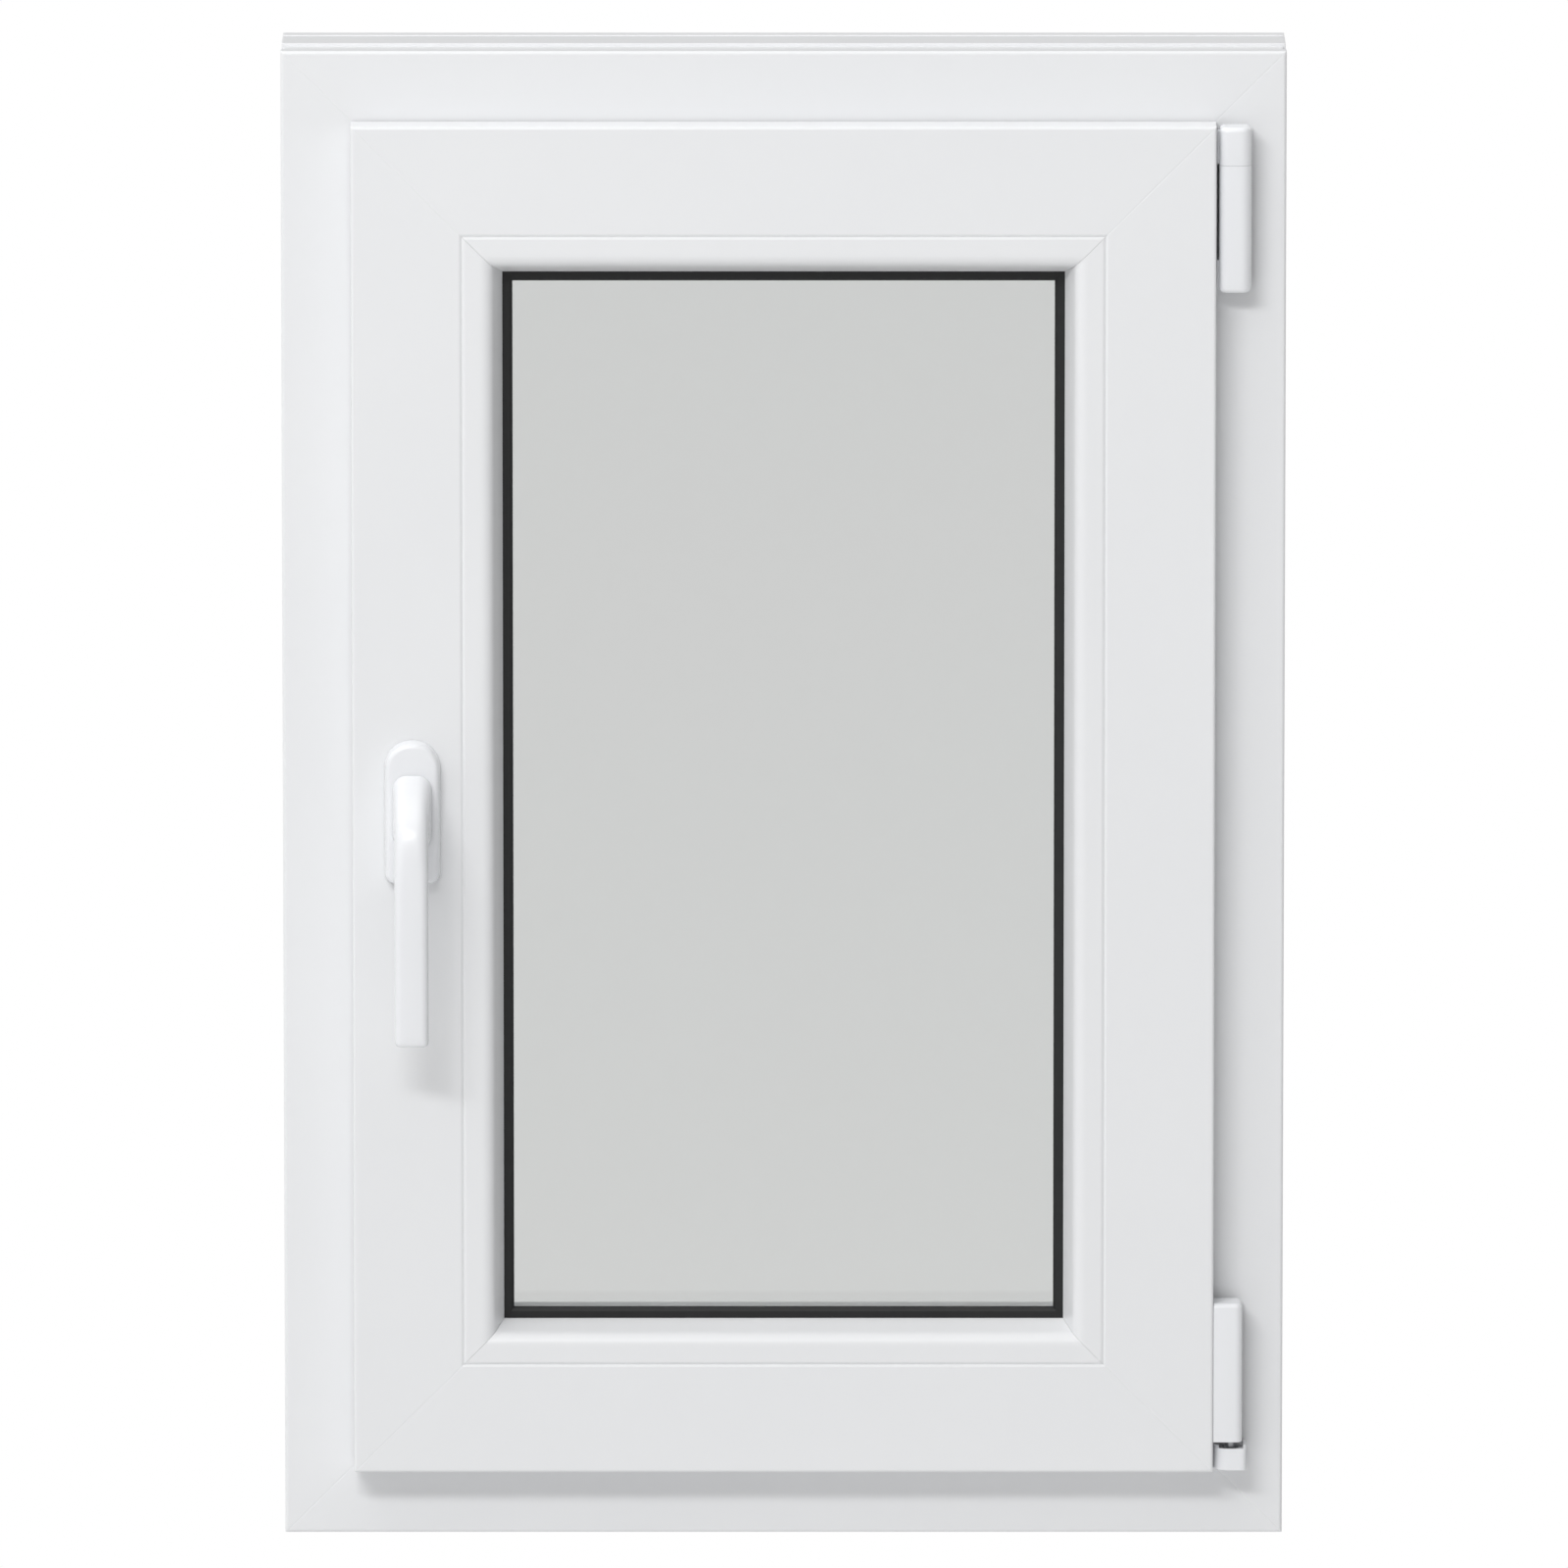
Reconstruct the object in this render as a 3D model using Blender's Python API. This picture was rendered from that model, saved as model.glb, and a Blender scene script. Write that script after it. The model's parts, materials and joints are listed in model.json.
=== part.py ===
"""White plastic tilt-and-turn window with one sash.

Metres, +Z up. The origin is the middle of the frame's underside, at half the frame's depth.
-Y is the room side, +Y is outdoors, and the sash hangs at +X.
A profile is drawn in millimetres as (u, v): u runs inwards from the profile's outer edge, and v is Y.
"""

import math

import bmesh
import bpy
from mathutils import Matrix, Vector

MM = 0.001
GAP = 0.3          # left between two pieces that touch, in millimetres like every size below
MITRE_GAP = 0.21   # taken off each end of a mitred length

FRAME_W, FRAME_H = 500.0, 750.0
FRAME_FRONT, FRAME_BACK = -35.0, 35.0
FRAME_REBATE = 43.0        # u of the surface that faces the sash
SASH_W, SASH_H, SASH_BASE = 430.0, 680.0, 35.0
SASH_FRONT = -57.0
GLASS_EDGE = 60.0          # u of the glass's edge, on the sash
PANE = 4.0
GLASS_FRONT, GLASS_BACK = -34.0, -10.0
BEAD_START, BEAD_END = 55.0, 75.0

HINGE_X, HINGE_Y = 224.0, -46.0
TILT_Z = 40.0
PIN_R = 2.5
STAY_Z = 700.0
STAY_END_X, STAY_END_Y = -50.0, -25.0
BRACKET_R = 7.7            # the corner bracket on the frame
BRACKET_LOW, BRACKET_HIGH = 35.2, 46.3
BUSH_R = 5.6
TOP_LOW, TOP_JOINT, TOP_HIGH = 631.0, 694.6, 714.0
TOP_COVER_X, TOP_COVER_R = 225.25, 7.25
EYE_R = 4.4                # round the top hinge's pin
EYE_MIDDLE, EYE_LENGTH = 671.5, 44.0
COVER_LOW, COVER_HIGH = 50.0, 120.5
COVER_LEFT, COVER_RIGHT = 216.0, 229.5
COVER_BEND = 4.5
LEAF_R = 4.0

HANDLE_X, HANDLE_Z = -185.0, 370.8
SPINDLE = 7.0
ROSETTE_W, ROSETTE_H, ROSETTE_DEEP = 28.0, 72.0, 9.0
SCREW_SPREAD = 21.5        # from the spindle's axis to each rosette screw
NECK_HOLE_R = 9.0

GROOVE_Y = -25.0           # middle of the hardware groove in the sash
TEETH, PITCH_R = 12, 7.3
TOOTH_PITCH = 2 * math.pi * PITCH_R / TEETH
CAM_HEIGHTS = {"lower": 200.0, "upper": 545.0}
TOP_CAM_X, BOTTOM_CAM_X = -120.0, -100.0
GEAR_HALF = 45.0           # half the gear case's height
CASE_FRONT, CASE_SPLIT, CASE_BACK = -32.2, -20.0, -17.8
DRAIN_X = 120.0            # of each drain slot, from the middle
DRAIN_HALF = 12.0
STEEL_WALL = 1.5

SIDE_ANGLE = {"left": 0, "bottom": -90, "top": 90, "right": 180}

for old in list(bpy.data.objects):
    bpy.data.objects.remove(old)

window = bpy.data.collections.new("casement_window")
cutters = bpy.data.collections.new("cutters")
for group in (window, cutters):
    bpy.context.scene.collection.children.link(group)


# ---- materials

def make_material(name, color, roughness, metallic=0.0, alpha=1.0):
    mat = bpy.data.materials.new(name)
    mat.use_nodes = True
    shader = mat.node_tree.nodes["Principled BSDF"]
    shader.inputs["Base Color"].default_value = (*color, 1.0)
    shader.inputs["Roughness"].default_value = roughness
    shader.inputs["Metallic"].default_value = metallic
    shader.inputs["Alpha"].default_value = alpha
    return mat


WHITE = make_material("white_profile", (0.90, 0.90, 0.91), 0.38)
WHITE_GLOSS = make_material("white_cover", (0.92, 0.92, 0.92), 0.28)
RUBBER = make_material("black_gasket", (0.025, 0.027, 0.028), 0.6)
GREY_RUBBER = make_material("grey_seal", (0.33, 0.34, 0.35), 0.6)
ZINC = make_material("zinc_hardware", (0.62, 0.63, 0.64), 0.35, 1.0)
STEEL = make_material("galvanised_steel", (0.50, 0.51, 0.52), 0.5, 1.0)
SPACER = make_material("spacer_grey", (0.30, 0.31, 0.32), 0.45)
BLOCK = make_material("setting_block", (0.12, 0.20, 0.42), 0.5)
GLASS = make_material("clear_glass", (0.86, 0.90, 0.88), 0.02, 0.0, 0.35)


# ---- general tools

def add(name, mesh, mat, matrix=None):
    obj = bpy.data.objects.new(name, mesh)
    if matrix is not None:
        obj.matrix_world = matrix
    obj.data.materials.clear()
    obj.data.materials.append(mat)
    window.objects.link(obj)
    return obj


def mesh_of(bm, name):
    bmesh.ops.scale(bm, vec=(MM, MM, MM), verts=bm.verts)
    mesh = bpy.data.meshes.new(name)
    bm.to_mesh(mesh)
    bm.free()
    return mesh


def box_mesh(low, high, name="box"):
    """A box between two corners."""
    low, high = Vector(low), Vector(high)
    bm = bmesh.new()
    size = Matrix.Diagonal((*(high - low), 1.0))
    bmesh.ops.create_cube(bm, size=1.0, matrix=Matrix.Translation((low + high) / 2) @ size)
    return mesh_of(bm, name)


def cylinder_mesh(centre, axis, radius, length, sides=24, name="cylinder"):
    """A cylinder whose middle is at centre, along X, Y or Z."""
    turn = {"X": Matrix.Rotation(math.pi / 2, 4, "Y"), "Y": Matrix.Rotation(math.pi / 2, 4, "X")}
    bm = bmesh.new()
    bmesh.ops.create_cone(
        bm, cap_ends=True, segments=sides, radius1=radius, radius2=radius, depth=length,
        matrix=Matrix.Translation(centre) @ turn.get(axis, Matrix()))
    return mesh_of(bm, name)


def outline_mesh(outlines, length, name):
    """Flat closed outlines (the first is the edge, the others are holes) extruded along local Z."""
    curve = bpy.data.curves.new(name, "CURVE")
    curve.dimensions = "2D"
    curve.fill_mode = "BOTH"
    curve.extrude = length / 2 * MM
    for outline in outlines:
        spline = curve.splines.new("POLY")
        spline.points.add(len(outline) - 1)
        for point, (x, y) in zip(spline.points, outline):
            point.co = (x * MM, y * MM, 0, 1)
        spline.use_cyclic_u = True
    holder = bpy.data.objects.new(name, curve)
    bpy.context.scene.collection.objects.link(holder)
    evaluated = holder.evaluated_get(bpy.context.evaluated_depsgraph_get())
    mesh = bpy.data.meshes.new_from_object(evaluated)
    bpy.data.objects.remove(holder)
    bm = bmesh.new()
    bm.from_mesh(mesh)
    bmesh.ops.remove_doubles(bm, verts=bm.verts, dist=0.00001)
    bmesh.ops.recalc_face_normals(bm, faces=bm.faces)
    bm.to_mesh(mesh)
    bm.free()
    return mesh


def plan_piece(name, outlines, z_low, z_high, mat):
    """An outline in X and Y, extruded from z_low to z_high."""
    mesh = outline_mesh(outlines, z_high - z_low, name)
    return add(name, mesh, mat, Matrix.Translation((0, 0, (z_low + z_high) / 2 * MM)))


def front_piece(name, outlines, y_low, y_high, mat):
    """An outline in X and Z, extruded from y_low to y_high."""
    mesh = outline_mesh(outlines, y_high - y_low, name)
    place = Matrix.Translation((0, (y_low + y_high) / 2 * MM, 0))
    return add(name, mesh, mat, place @ Matrix.Rotation(math.pi / 2, 4, "X"))


def boolean(obj, mesh, operation, matrix=None):
    """Cuts or joins a shape, which stays in the scene as a hidden tool."""
    tool = bpy.data.objects.new(obj.name + "_tool", mesh)
    if matrix is not None:
        tool.matrix_world = matrix
    tool.hide_render = True
    tool.display_type = "WIRE"
    cutters.objects.link(tool)
    modifier = obj.modifiers.new(operation.lower(), "BOOLEAN")
    modifier.operation = operation
    modifier.solver = "EXACT"
    modifier.object = tool
    return obj


def cut(obj, mesh, matrix=None):
    return boolean(obj, mesh, "DIFFERENCE", matrix)


def join(obj, mesh, matrix=None):
    return boolean(obj, mesh, "UNION", matrix)


def arc(centre, radius, start, end, steps):
    """Points along an arc, angles in degrees."""
    points = []
    for i in range(steps + 1):
        angle = math.radians(start + (end - start) * i / steps)
        points.append((centre[0] + radius * math.cos(angle), centre[1] + radius * math.sin(angle)))
    return points


def circle(centre, radius, sides=24):
    return arc(centre, radius, 0, 360 - 360 / sides, sides - 1)


def rounded_outline(width, height, low_radius, high_radius, steps=4):
    """A rectangle about the origin with one radius for its lower corners and one for its upper corners."""
    points = []
    corners = (
        (1, -1, low_radius, 270), (1, 1, high_radius, 0), (-1, 1, high_radius, 90), (-1, -1, low_radius, 180))
    for sx, sy, radius, start in corners:
        centre = (sx * (width / 2 - radius), sy * (height / 2 - radius))
        points += arc(centre, radius, start, start + 90, steps)
    return points


def loft_mesh(rings, name):
    """A closed skin through rings that all have the same number of points."""
    bm = bmesh.new()
    loops = [[bm.verts.new(point) for point in ring] for ring in rings]
    count = len(loops[0])
    for near, far in zip(loops, loops[1:]):
        for i in range(count):
            j = (i + 1) % count
            bm.faces.new((near[i], near[j], far[j], far[i]))
    bm.faces.new(loops[0])
    bm.faces.new(loops[-1])
    bmesh.ops.recalc_face_normals(bm, faces=bm.faces)
    return mesh_of(bm, name)


def smooth(obj, angle=40):
    obj.data.shade_smooth()
    obj.data.set_sharp_from_angle(angle=math.radians(angle))
    return obj


# ---- the four sides of a rectangle

def side_matrix(side, width, height, base):
    """Local X is u, local Y is Y, and local Z runs along the side from its middle."""
    middle = {
        "left": (-width / 2, 0, base + height / 2), "right": (width / 2, 0, base + height / 2),
        "bottom": (0, 0, base), "top": (0, 0, base + height)}[side]
    turn = Matrix.Rotation(math.radians(SIDE_ANGLE[side]), 4, "Y")
    return Matrix.Translation(Vector(middle) * MM) @ turn


def frame_side(side):
    return side_matrix(side, FRAME_W, FRAME_H, 0)


def sash_side(side):
    return side_matrix(side, SASH_W, SASH_H, SASH_BASE)


def mitred_member(name, side, size, section, mat):
    """One hollow length of a rectangle, cut at 45 degrees where it meets its neighbours."""
    width, height, base = size
    length = width if side in ("top", "bottom") else height
    mesh = outline_mesh(section, length, name)
    for vertex in mesh.vertices:
        shorter = vertex.co.x + MITRE_GAP * MM
        vertex.co.z = math.copysign(length / 2 * MM - shorter, vertex.co.z)
    return add(name, mesh, mat, side_matrix(side, width, height, base))


def ring_piece(name, size, section, mat):
    """A section carried round a rectangle, with square corners."""
    width, height, base = size
    rings = []
    for sx, sz in ((-1, -1), (1, -1), (1, 1), (-1, 1)):
        middle = base + height / 2
        rings.append([(sx * (width / 2 - u), v, middle + sz * (height / 2 - u)) for u, v in section])
    bm = bmesh.new()
    loops = [[bm.verts.new(point) for point in ring] for ring in rings]
    count = len(section)
    for near, far in zip(loops, loops[1:] + loops[:1]):
        for i in range(count):
            j = (i + 1) % count
            bm.faces.new((near[i], near[j], far[j], far[i]))
    bmesh.ops.recalc_face_normals(bm, faces=bm.faces)
    return add(name, mesh_of(bm, name), mat)


FRAME_SIZE = (FRAME_W, FRAME_H, 0)
SASH_SIZE = (SASH_W, SASH_H, SASH_BASE)


def on_side(place, low, high):
    """A box in a side's own (u, v, along) millimetres, with the matrix that places it."""
    return box_mesh(low, high), place


# ---- outer frame

def frame_section():
    edge = [
        (0, -33.5), (1.5, -35), (43, -35), (43, 16.5), (60, 16.5), (60, 19.5), (62.6, 19.5), (62.6, 16.5),
        (66, 16.5), (67, 17.5), (67, 32), (64, 35), (1, 35), (0, 34), (0, 25), (2.2, 25), (2.2, 21), (0, 21),
        (0, -6), (2.5, -6), (2.5, -27), (0, -27)]
    front_chamber = [(5.5, -32), (40, -32), (40, -8.5), (5.5, -8.5)]
    steel_chamber = [(3, -5.5), (40, -5.5), (40, 16.5), (3, 16.5)]
    rear_chamber = [(5, 19.5), (57, 19.5), (57, 32), (5, 32)]
    return [edge, front_chamber, steel_chamber, rear_chamber]


def frame_members():
    names = {"bottom": "frame_sill", "top": "frame_head", "left": "frame_jamb_left", "right": "frame_jamb_right"}
    members = {s: mitred_member(n, s, FRAME_SIZE, frame_section(), WHITE) for s, n in names.items()}
    for x in (-DRAIN_X, DRAIN_X):
        cut(members["bottom"], box_mesh((x - DRAIN_HALF, 31, 14), (x + DRAIN_HALF, 36, 19)))
        cut(members["bottom"], box_mesh((x - DRAIN_HALF, 5, 39), (x + DRAIN_HALF, 10, 44)))
    return list(members.values())


def square_tube(name, place, low, high, length, wall=STEEL_WALL):
    (u0, v0), (u1, v1) = low, high
    edge = [(u0, v0), (u1, v0), (u1, v1), (u0, v1)]
    bore = [(u0 + wall, v0 + wall), (u1 - wall, v0 + wall), (u1 - wall, v1 - wall), (u0 + wall, v1 - wall)]
    return add(name, outline_mesh([edge, bore], length, name), STEEL, place)


def frame_steels():
    return [
        square_tube("frame_steel_" + side, frame_side(side), (6, -4.8), (38, 15.8), FRAME_H - 110)
        for side in ("left", "right")]


def frame_gasket():
    section = [(60.3, 19), (60.3, 16.2), (58.5, 16.2), (59.5, 13.6), (64.5, 13.6), (65, 16.2), (62.3, 16.2), (62.3, 19)]
    return ring_piece("frame_gasket", FRAME_SIZE, section, RUBBER)


def drain_cover(name, x):
    """A hooded cover over one drainage slot, open below."""
    cover = add(name, box_mesh((x - 17, FRAME_BACK + GAP, 12), (x + 17, 39.5, 22)), WHITE)
    cut(cover, box_mesh((x - 15.5, FRAME_BACK, 10), (x + 15.5, 38, 20.5)))
    return cover


def striker(name, side, along):
    """A keeper on the frame's rebate. Its lip stands beyond the cam's resting place."""
    place = frame_side(side)
    u0 = FRAME_REBATE + GAP
    piece = add(name, box_mesh((u0, -33, along - 17), (u0 + 2.2, -17, along + 17)), ZINC, place)
    join(piece, *on_side(place, (u0 + 1, -34.4, along + 6.5), (u0 + 6.5, -30.8, along + 16.5)))
    return piece


def strikers():
    return [
        striker("striker_side_lower", "left", CAM_HEIGHTS["lower"] - FRAME_H / 2),
        striker("striker_side_upper", "left", CAM_HEIGHTS["upper"] - FRAME_H / 2),
        striker("striker_top", "top", TOP_CAM_X),
        striker("striker_bottom", "bottom", -BOTTOM_CAM_X)]


# ---- hinges on the frame

def d_outline(centre_x, half, front_y, back_y):
    """A plan outline with a round room side and a square back."""
    centre = (centre_x, front_y + half)
    return arc(centre, half, 180, 360, 12) + [(centre_x + half, back_y), (centre_x - half, back_y)]


def corner_bracket():
    outline = d_outline(HINGE_X, BRACKET_R, HINGE_Y - BRACKET_R, FRAME_FRONT - GAP)
    piece = plan_piece("corner_bracket", [outline], BRACKET_LOW, BRACKET_HIGH, WHITE_GLOSS)
    cut(piece, cylinder_mesh((HINGE_X, HINGE_Y, BRACKET_HIGH), "Z", BUSH_R + GAP, 17))
    return smooth(piece)


def pivot_bush():
    outline = circle((HINGE_X, HINGE_Y), BUSH_R)
    piece = plan_piece("pivot_bush", [outline], BRACKET_HIGH - 8.2, BRACKET_HIGH - 0.3, ZINC)
    cut(piece, cylinder_mesh((HINGE_X, HINGE_Y, BRACKET_HIGH), "Z", PIN_R + 1.3, 14))
    return smooth(piece)


def top_bearing():
    plate = [(216.2, -37.6), (231.0, -37.6), (231.0, -35.3), (216.2, -35.3)]
    piece = plan_piece("top_bearing", [plate], 647, 694, STEEL)
    join(piece, box_mesh((222, -43, 650), (226, -36.5, 693.5)))
    join(piece, cylinder_mesh((HINGE_X, HINGE_Y, EYE_MIDDLE), "Z", EYE_R, EYE_LENGTH))
    cut(piece, cylinder_mesh((HINGE_X, HINGE_Y, EYE_MIDDLE), "Z", PIN_R + GAP, 60))
    return piece


def top_pin():
    return smooth(add("top_bearing_pin", cylinder_mesh((HINGE_X, HINGE_Y, 673), "Z", PIN_R, 66), ZINC))


def top_cover():
    edge = d_outline(TOP_COVER_X, TOP_COVER_R, HINGE_Y - TOP_COVER_R, -38.9)
    piece = plan_piece("top_bearing_cover", [edge], TOP_LOW, TOP_JOINT, WHITE_GLOSS)
    room = d_outline(TOP_COVER_X, TOP_COVER_R - 1.2, HINGE_Y - TOP_COVER_R + 1.2, -30)
    height = TOP_JOINT - TOP_LOW
    place = Matrix.Translation((0, 0, (TOP_LOW + 1.5 + height / 2) * MM))
    cut(piece, outline_mesh([room], height, "room"), place)
    return smooth(piece)


# ---- stay

def stay_arm():
    """A flat bar over the sash, cranked through the gap behind the overlap to the eye on the hinge pin."""
    low, high = STAY_Z - 1.4, STAY_Z + 1.4
    half = 5.5
    bar = [
        (STAY_END_X - 8, STAY_END_Y - half), (190, STAY_END_Y - half), (203, -38.2), (214, -38.2), (214, -35.9),
        (206, -35.9), (198, STAY_END_Y + half), (STAY_END_X - 8, STAY_END_Y + half)]
    piece = plan_piece("stay_arm", [bar], low, high, ZINC)
    join(piece, box_mesh((202, -38.1, 697), (222.6, -36.0, 705)))
    join(piece, box_mesh((220.4, -43, 697.2), (223.4, -36.5, 704.8)))
    join(piece, cylinder_mesh((HINGE_X, HINGE_Y, 701), "Z", EYE_R, 9))
    cut(piece, cylinder_mesh((HINGE_X, HINGE_Y, 701), "Z", PIN_R + GAP, 20))
    join(piece, cylinder_mesh((STAY_END_X, STAY_END_Y, 694.5), "Z", 3.0, 13, sides=16))
    return piece


def stay_cap():
    edge = circle((TOP_COVER_X, HINGE_Y), TOP_COVER_R)
    piece = plan_piece("stay_cap", [edge], TOP_JOINT + 0.4, TOP_HIGH, WHITE_GLOSS)
    cut(piece, cylinder_mesh((TOP_COVER_X, HINGE_Y, 702), "Z", 6.0, 18))
    cut(piece, box_mesh((213, -44, 694), (224.2, -33, 706)))
    return smooth(piece)


# ---- sash

def sash_section():
    edge = [
        (0, -55.5), (1.5, -57), (54.4, -57), (55, -56.4), (55, -50.5), (52.7, -50.5), (52.7, -47.5), (55, -47.5),
        (55, -6.5), (68, -6.5), (68, -3.5), (70.6, -3.5), (70.6, -6.5), (75, -6.5), (75, 9), (71, 13), (21, 13),
        (20, 12), (20, -19), (31, -19), (31, -31), (20, -31), (20, -39), (6.4, -39), (6.4, -41.2), (3, -41.2),
        (3, -39), (0.8, -39), (0, -39.8)]
    room_chamber = [(3, -54), (49.7, -54), (49.7, -44.2), (3, -44.2)]
    steel_chamber = [(34, -41.2), (52, -41.2), (52, -9.5), (34, -9.5)]
    groove_chamber = [(23, -16), (31, -16), (31, -9.5), (23, -9.5)]
    rear_chamber = [(23, -6.5), (50, -6.5), (50, -0.5), (71, -0.5), (71, 8), (69, 10), (23, 10)]
    return [edge, room_chamber, steel_chamber, groove_chamber, rear_chamber]


def handle_along():
    """Where the handle is along the left stile, from its middle."""
    return HANDLE_Z - (SASH_BASE + SASH_H / 2)


def sash_members():
    names = {
        "bottom": "sash_rail_bottom", "top": "sash_rail_top",
        "left": "sash_stile_left", "right": "sash_stile_right"}
    members = {s: mitred_member(n, s, SASH_SIZE, sash_section(), WHITE) for s, n in names.items()}
    middle = handle_along()
    pocket = ((19, -32.6, middle - GEAR_HALF - 2), (39.2, -17.4, middle + GEAR_HALF + 2))
    cut(members["left"], *on_side(sash_side("left"), *pocket))
    depth = 30
    hole_y = SASH_FRONT - 1 + depth / 2
    cut(members["left"], cylinder_mesh((HANDLE_X, hole_y, HANDLE_Z), "Y", 6, depth))
    for z in (HANDLE_Z - SCREW_SPREAD, HANDLE_Z + SCREW_SPREAD):
        cut(members["left"], cylinder_mesh((HANDLE_X, hole_y, z), "Y", 3.2, depth, sides=16))
    return list(members.values())


def sash_steels():
    return [
        square_tube("sash_steel_" + side, sash_side(side), (40.5, -38), (51, -12), SASH_H - 130)
        for side in ("left", "right")]


def sash_seal():
    """The seal in the overlap, notched where the two hinge arms pass."""
    section = [
        (3.3, -40.9), (6.1, -40.9), (6.1, -38.7), (8, -38.7), (7, -35.9), (2.5, -35.9), (1.5, -38.7), (3.3, -38.7)]
    seal = ring_piece("sash_seal", SASH_SIZE, section, GREY_RUBBER)
    for z_low, z_high in ((60, 116), (695.5, 706)):
        cut(seal, box_mesh((204, -38.6, z_low), (216, -35, z_high)))
    return seal


# ---- glass

def pane(name, y_low):
    half_w = SASH_W / 2 - GLASS_EDGE
    low = (-half_w, y_low, SASH_BASE + GLASS_EDGE)
    high = (half_w, y_low + PANE, SASH_BASE + SASH_H - GLASS_EDGE)
    return add(name, box_mesh(low, high), GLASS)


def band(u_low, u_high, v_low, v_high):
    return [(u_low, v_low), (u_high, v_low), (u_high, v_high), (u_low, v_high)]


def glass_unit():
    inside = (GLASS_FRONT + PANE + GAP, GLASS_BACK - PANE - GAP)
    return [
        pane("pane_inner", GLASS_FRONT), pane("pane_outer", GLASS_BACK - PANE),
        ring_piece("glass_spacer", SASH_SIZE, band(64.3, 73.5, *inside), SPACER),
        ring_piece("glass_edge_seal", SASH_SIZE, band(GLASS_EDGE + 0.2, 64, *inside), RUBBER)]


def glazing_gaskets():
    inner = [
        (66, -37), (75.3, -37), (80, -35.9), (80, GLASS_FRONT - GAP), (66, GLASS_FRONT - GAP)]
    outer = [
        (66.5, GLASS_BACK + GAP), (76, GLASS_BACK + GAP), (75.8, -6.8), (70.3, -6.8), (70.3, -3.9), (68.3, -3.9),
        (68.3, -6.8), (66.5, -6.8)]
    return [
        ring_piece("glazing_gasket_inner", SASH_SIZE, inner, RUBBER),
        ring_piece("glazing_gasket_outer", SASH_SIZE, outer, RUBBER)]


def bead_section():
    start = BEAD_START + GAP
    edge = [
        (start, -56.4), (start + 0.6, -57), (67, -57), (69.6, -56.1), (71.3, -53.8), (BEAD_END, -38.6),
        (BEAD_END, -37.3), (start, -37.3), (start, -47.8), (53.1, -47.8), (53.1, -50.2), (start, -50.2)]
    chamber = [(57.5, -54.8), (67.2, -54.8), (69.3, -52.8), (72.3, -39.8), (57.5, -39.8)]
    return [edge, chamber]


def beads():
    return [mitred_member("bead_" + s, s, SASH_SIZE, bead_section(), WHITE) for s in SIDE_ANGLE]


def setting_blocks():
    """Packers between the sash and the glass's edge: two under it, one at each of two opposite corners."""
    spots = {
        "setting_block_left": ("bottom", 95), "setting_block_right": ("bottom", -95),
        "setting_block_hinge": ("right", 215), "setting_block_lock": ("left", 215)}
    blocks = []
    for name, (side, along) in spots.items():
        low = (BEAD_START + GAP, GLASS_FRONT, along - 35)
        high = (GLASS_EDGE - GAP, GLASS_BACK, along + 35)
        blocks.append(add(name, box_mesh(low, high), BLOCK, sash_side(side)))
    return blocks


# ---- hinge and stay parts on the sash

def corner_hinge():
    """A strap on the sash's side, through the gap behind the overlap, to a barrel on the hinge axis."""
    strap = [
        (195.3, -38.3), (223.5, -38.3), (223.5, -36.1), (197.5, -36.1), (197.5, -18), (195.3, -18)]
    piece = plan_piece("corner_hinge", [strap], 62, 114, ZINC)
    join(piece, box_mesh((221, -44, 62.5), (223.4, -36.6, 113.5)))
    join(piece, cylinder_mesh((HINGE_X, HINGE_Y, 85), "Z", LEAF_R, 68))
    cut(piece, cylinder_mesh((HINGE_X, HINGE_Y, 50), "Z", PIN_R + GAP, 26))
    return piece


def corner_pin():
    low, high = TILT_Z - 0.4, 62.6
    mesh = cylinder_mesh((HINGE_X, HINGE_Y, (low + high) / 2), "Z", PIN_R, high - low)
    return smooth(add("corner_hinge_pin", mesh, ZINC))


def corner_cover():
    front, back = HINGE_Y - 7.5, -38.9

    def outline(inset, rear):
        left, right, near = COVER_LEFT + inset, COVER_RIGHT - inset, front + inset
        bend = COVER_BEND - inset
        return (
            arc((left + bend, near + bend), bend, 180, 270, 4)
            + arc((right - bend, near + bend), bend, 270, 360, 4) + [(right, rear), (left, rear)])

    piece = plan_piece("corner_hinge_cover", [outline(0, back)], COVER_LOW, COVER_HIGH, WHITE_GLOSS)
    height = COVER_HIGH - COVER_LOW
    place = Matrix.Translation((0, 0, (COVER_LOW - 1.2 + height / 2) * MM))
    cut(piece, outline_mesh([outline(1.2, -30)], height, "room"), place)
    return smooth(piece)


def stay_guide():
    place = sash_side("top")
    piece = add("stay_guide", box_mesh((17.7, -33, -68), (19.7, -17, 186)), ZINC, place)
    slot = box_mesh((-53.8, -28.8, 690), (-40.4, -21.2, 700))
    cut(piece, slot)
    return piece


# ---- drive gear

def rail_box(side, low, high, cam):
    """A drive rail in the hardware groove, with its locking cam."""
    place = sash_side(side)
    piece = add(side + "_drive_rail", box_mesh((20.3, -30, low), (21.7, -20, high)), ZINC, place)
    add_cam(piece, place, cam)
    return piece


def add_cam(piece, place, along):
    join(piece, cylinder_mesh((17.2, GROOVE_Y, along), "X", 3.0, 8.4, sides=16), place)
    join(piece, cylinder_mesh((13.2, GROOVE_Y, along), "X", 4.5, 2.0, sides=16), place)


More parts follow.
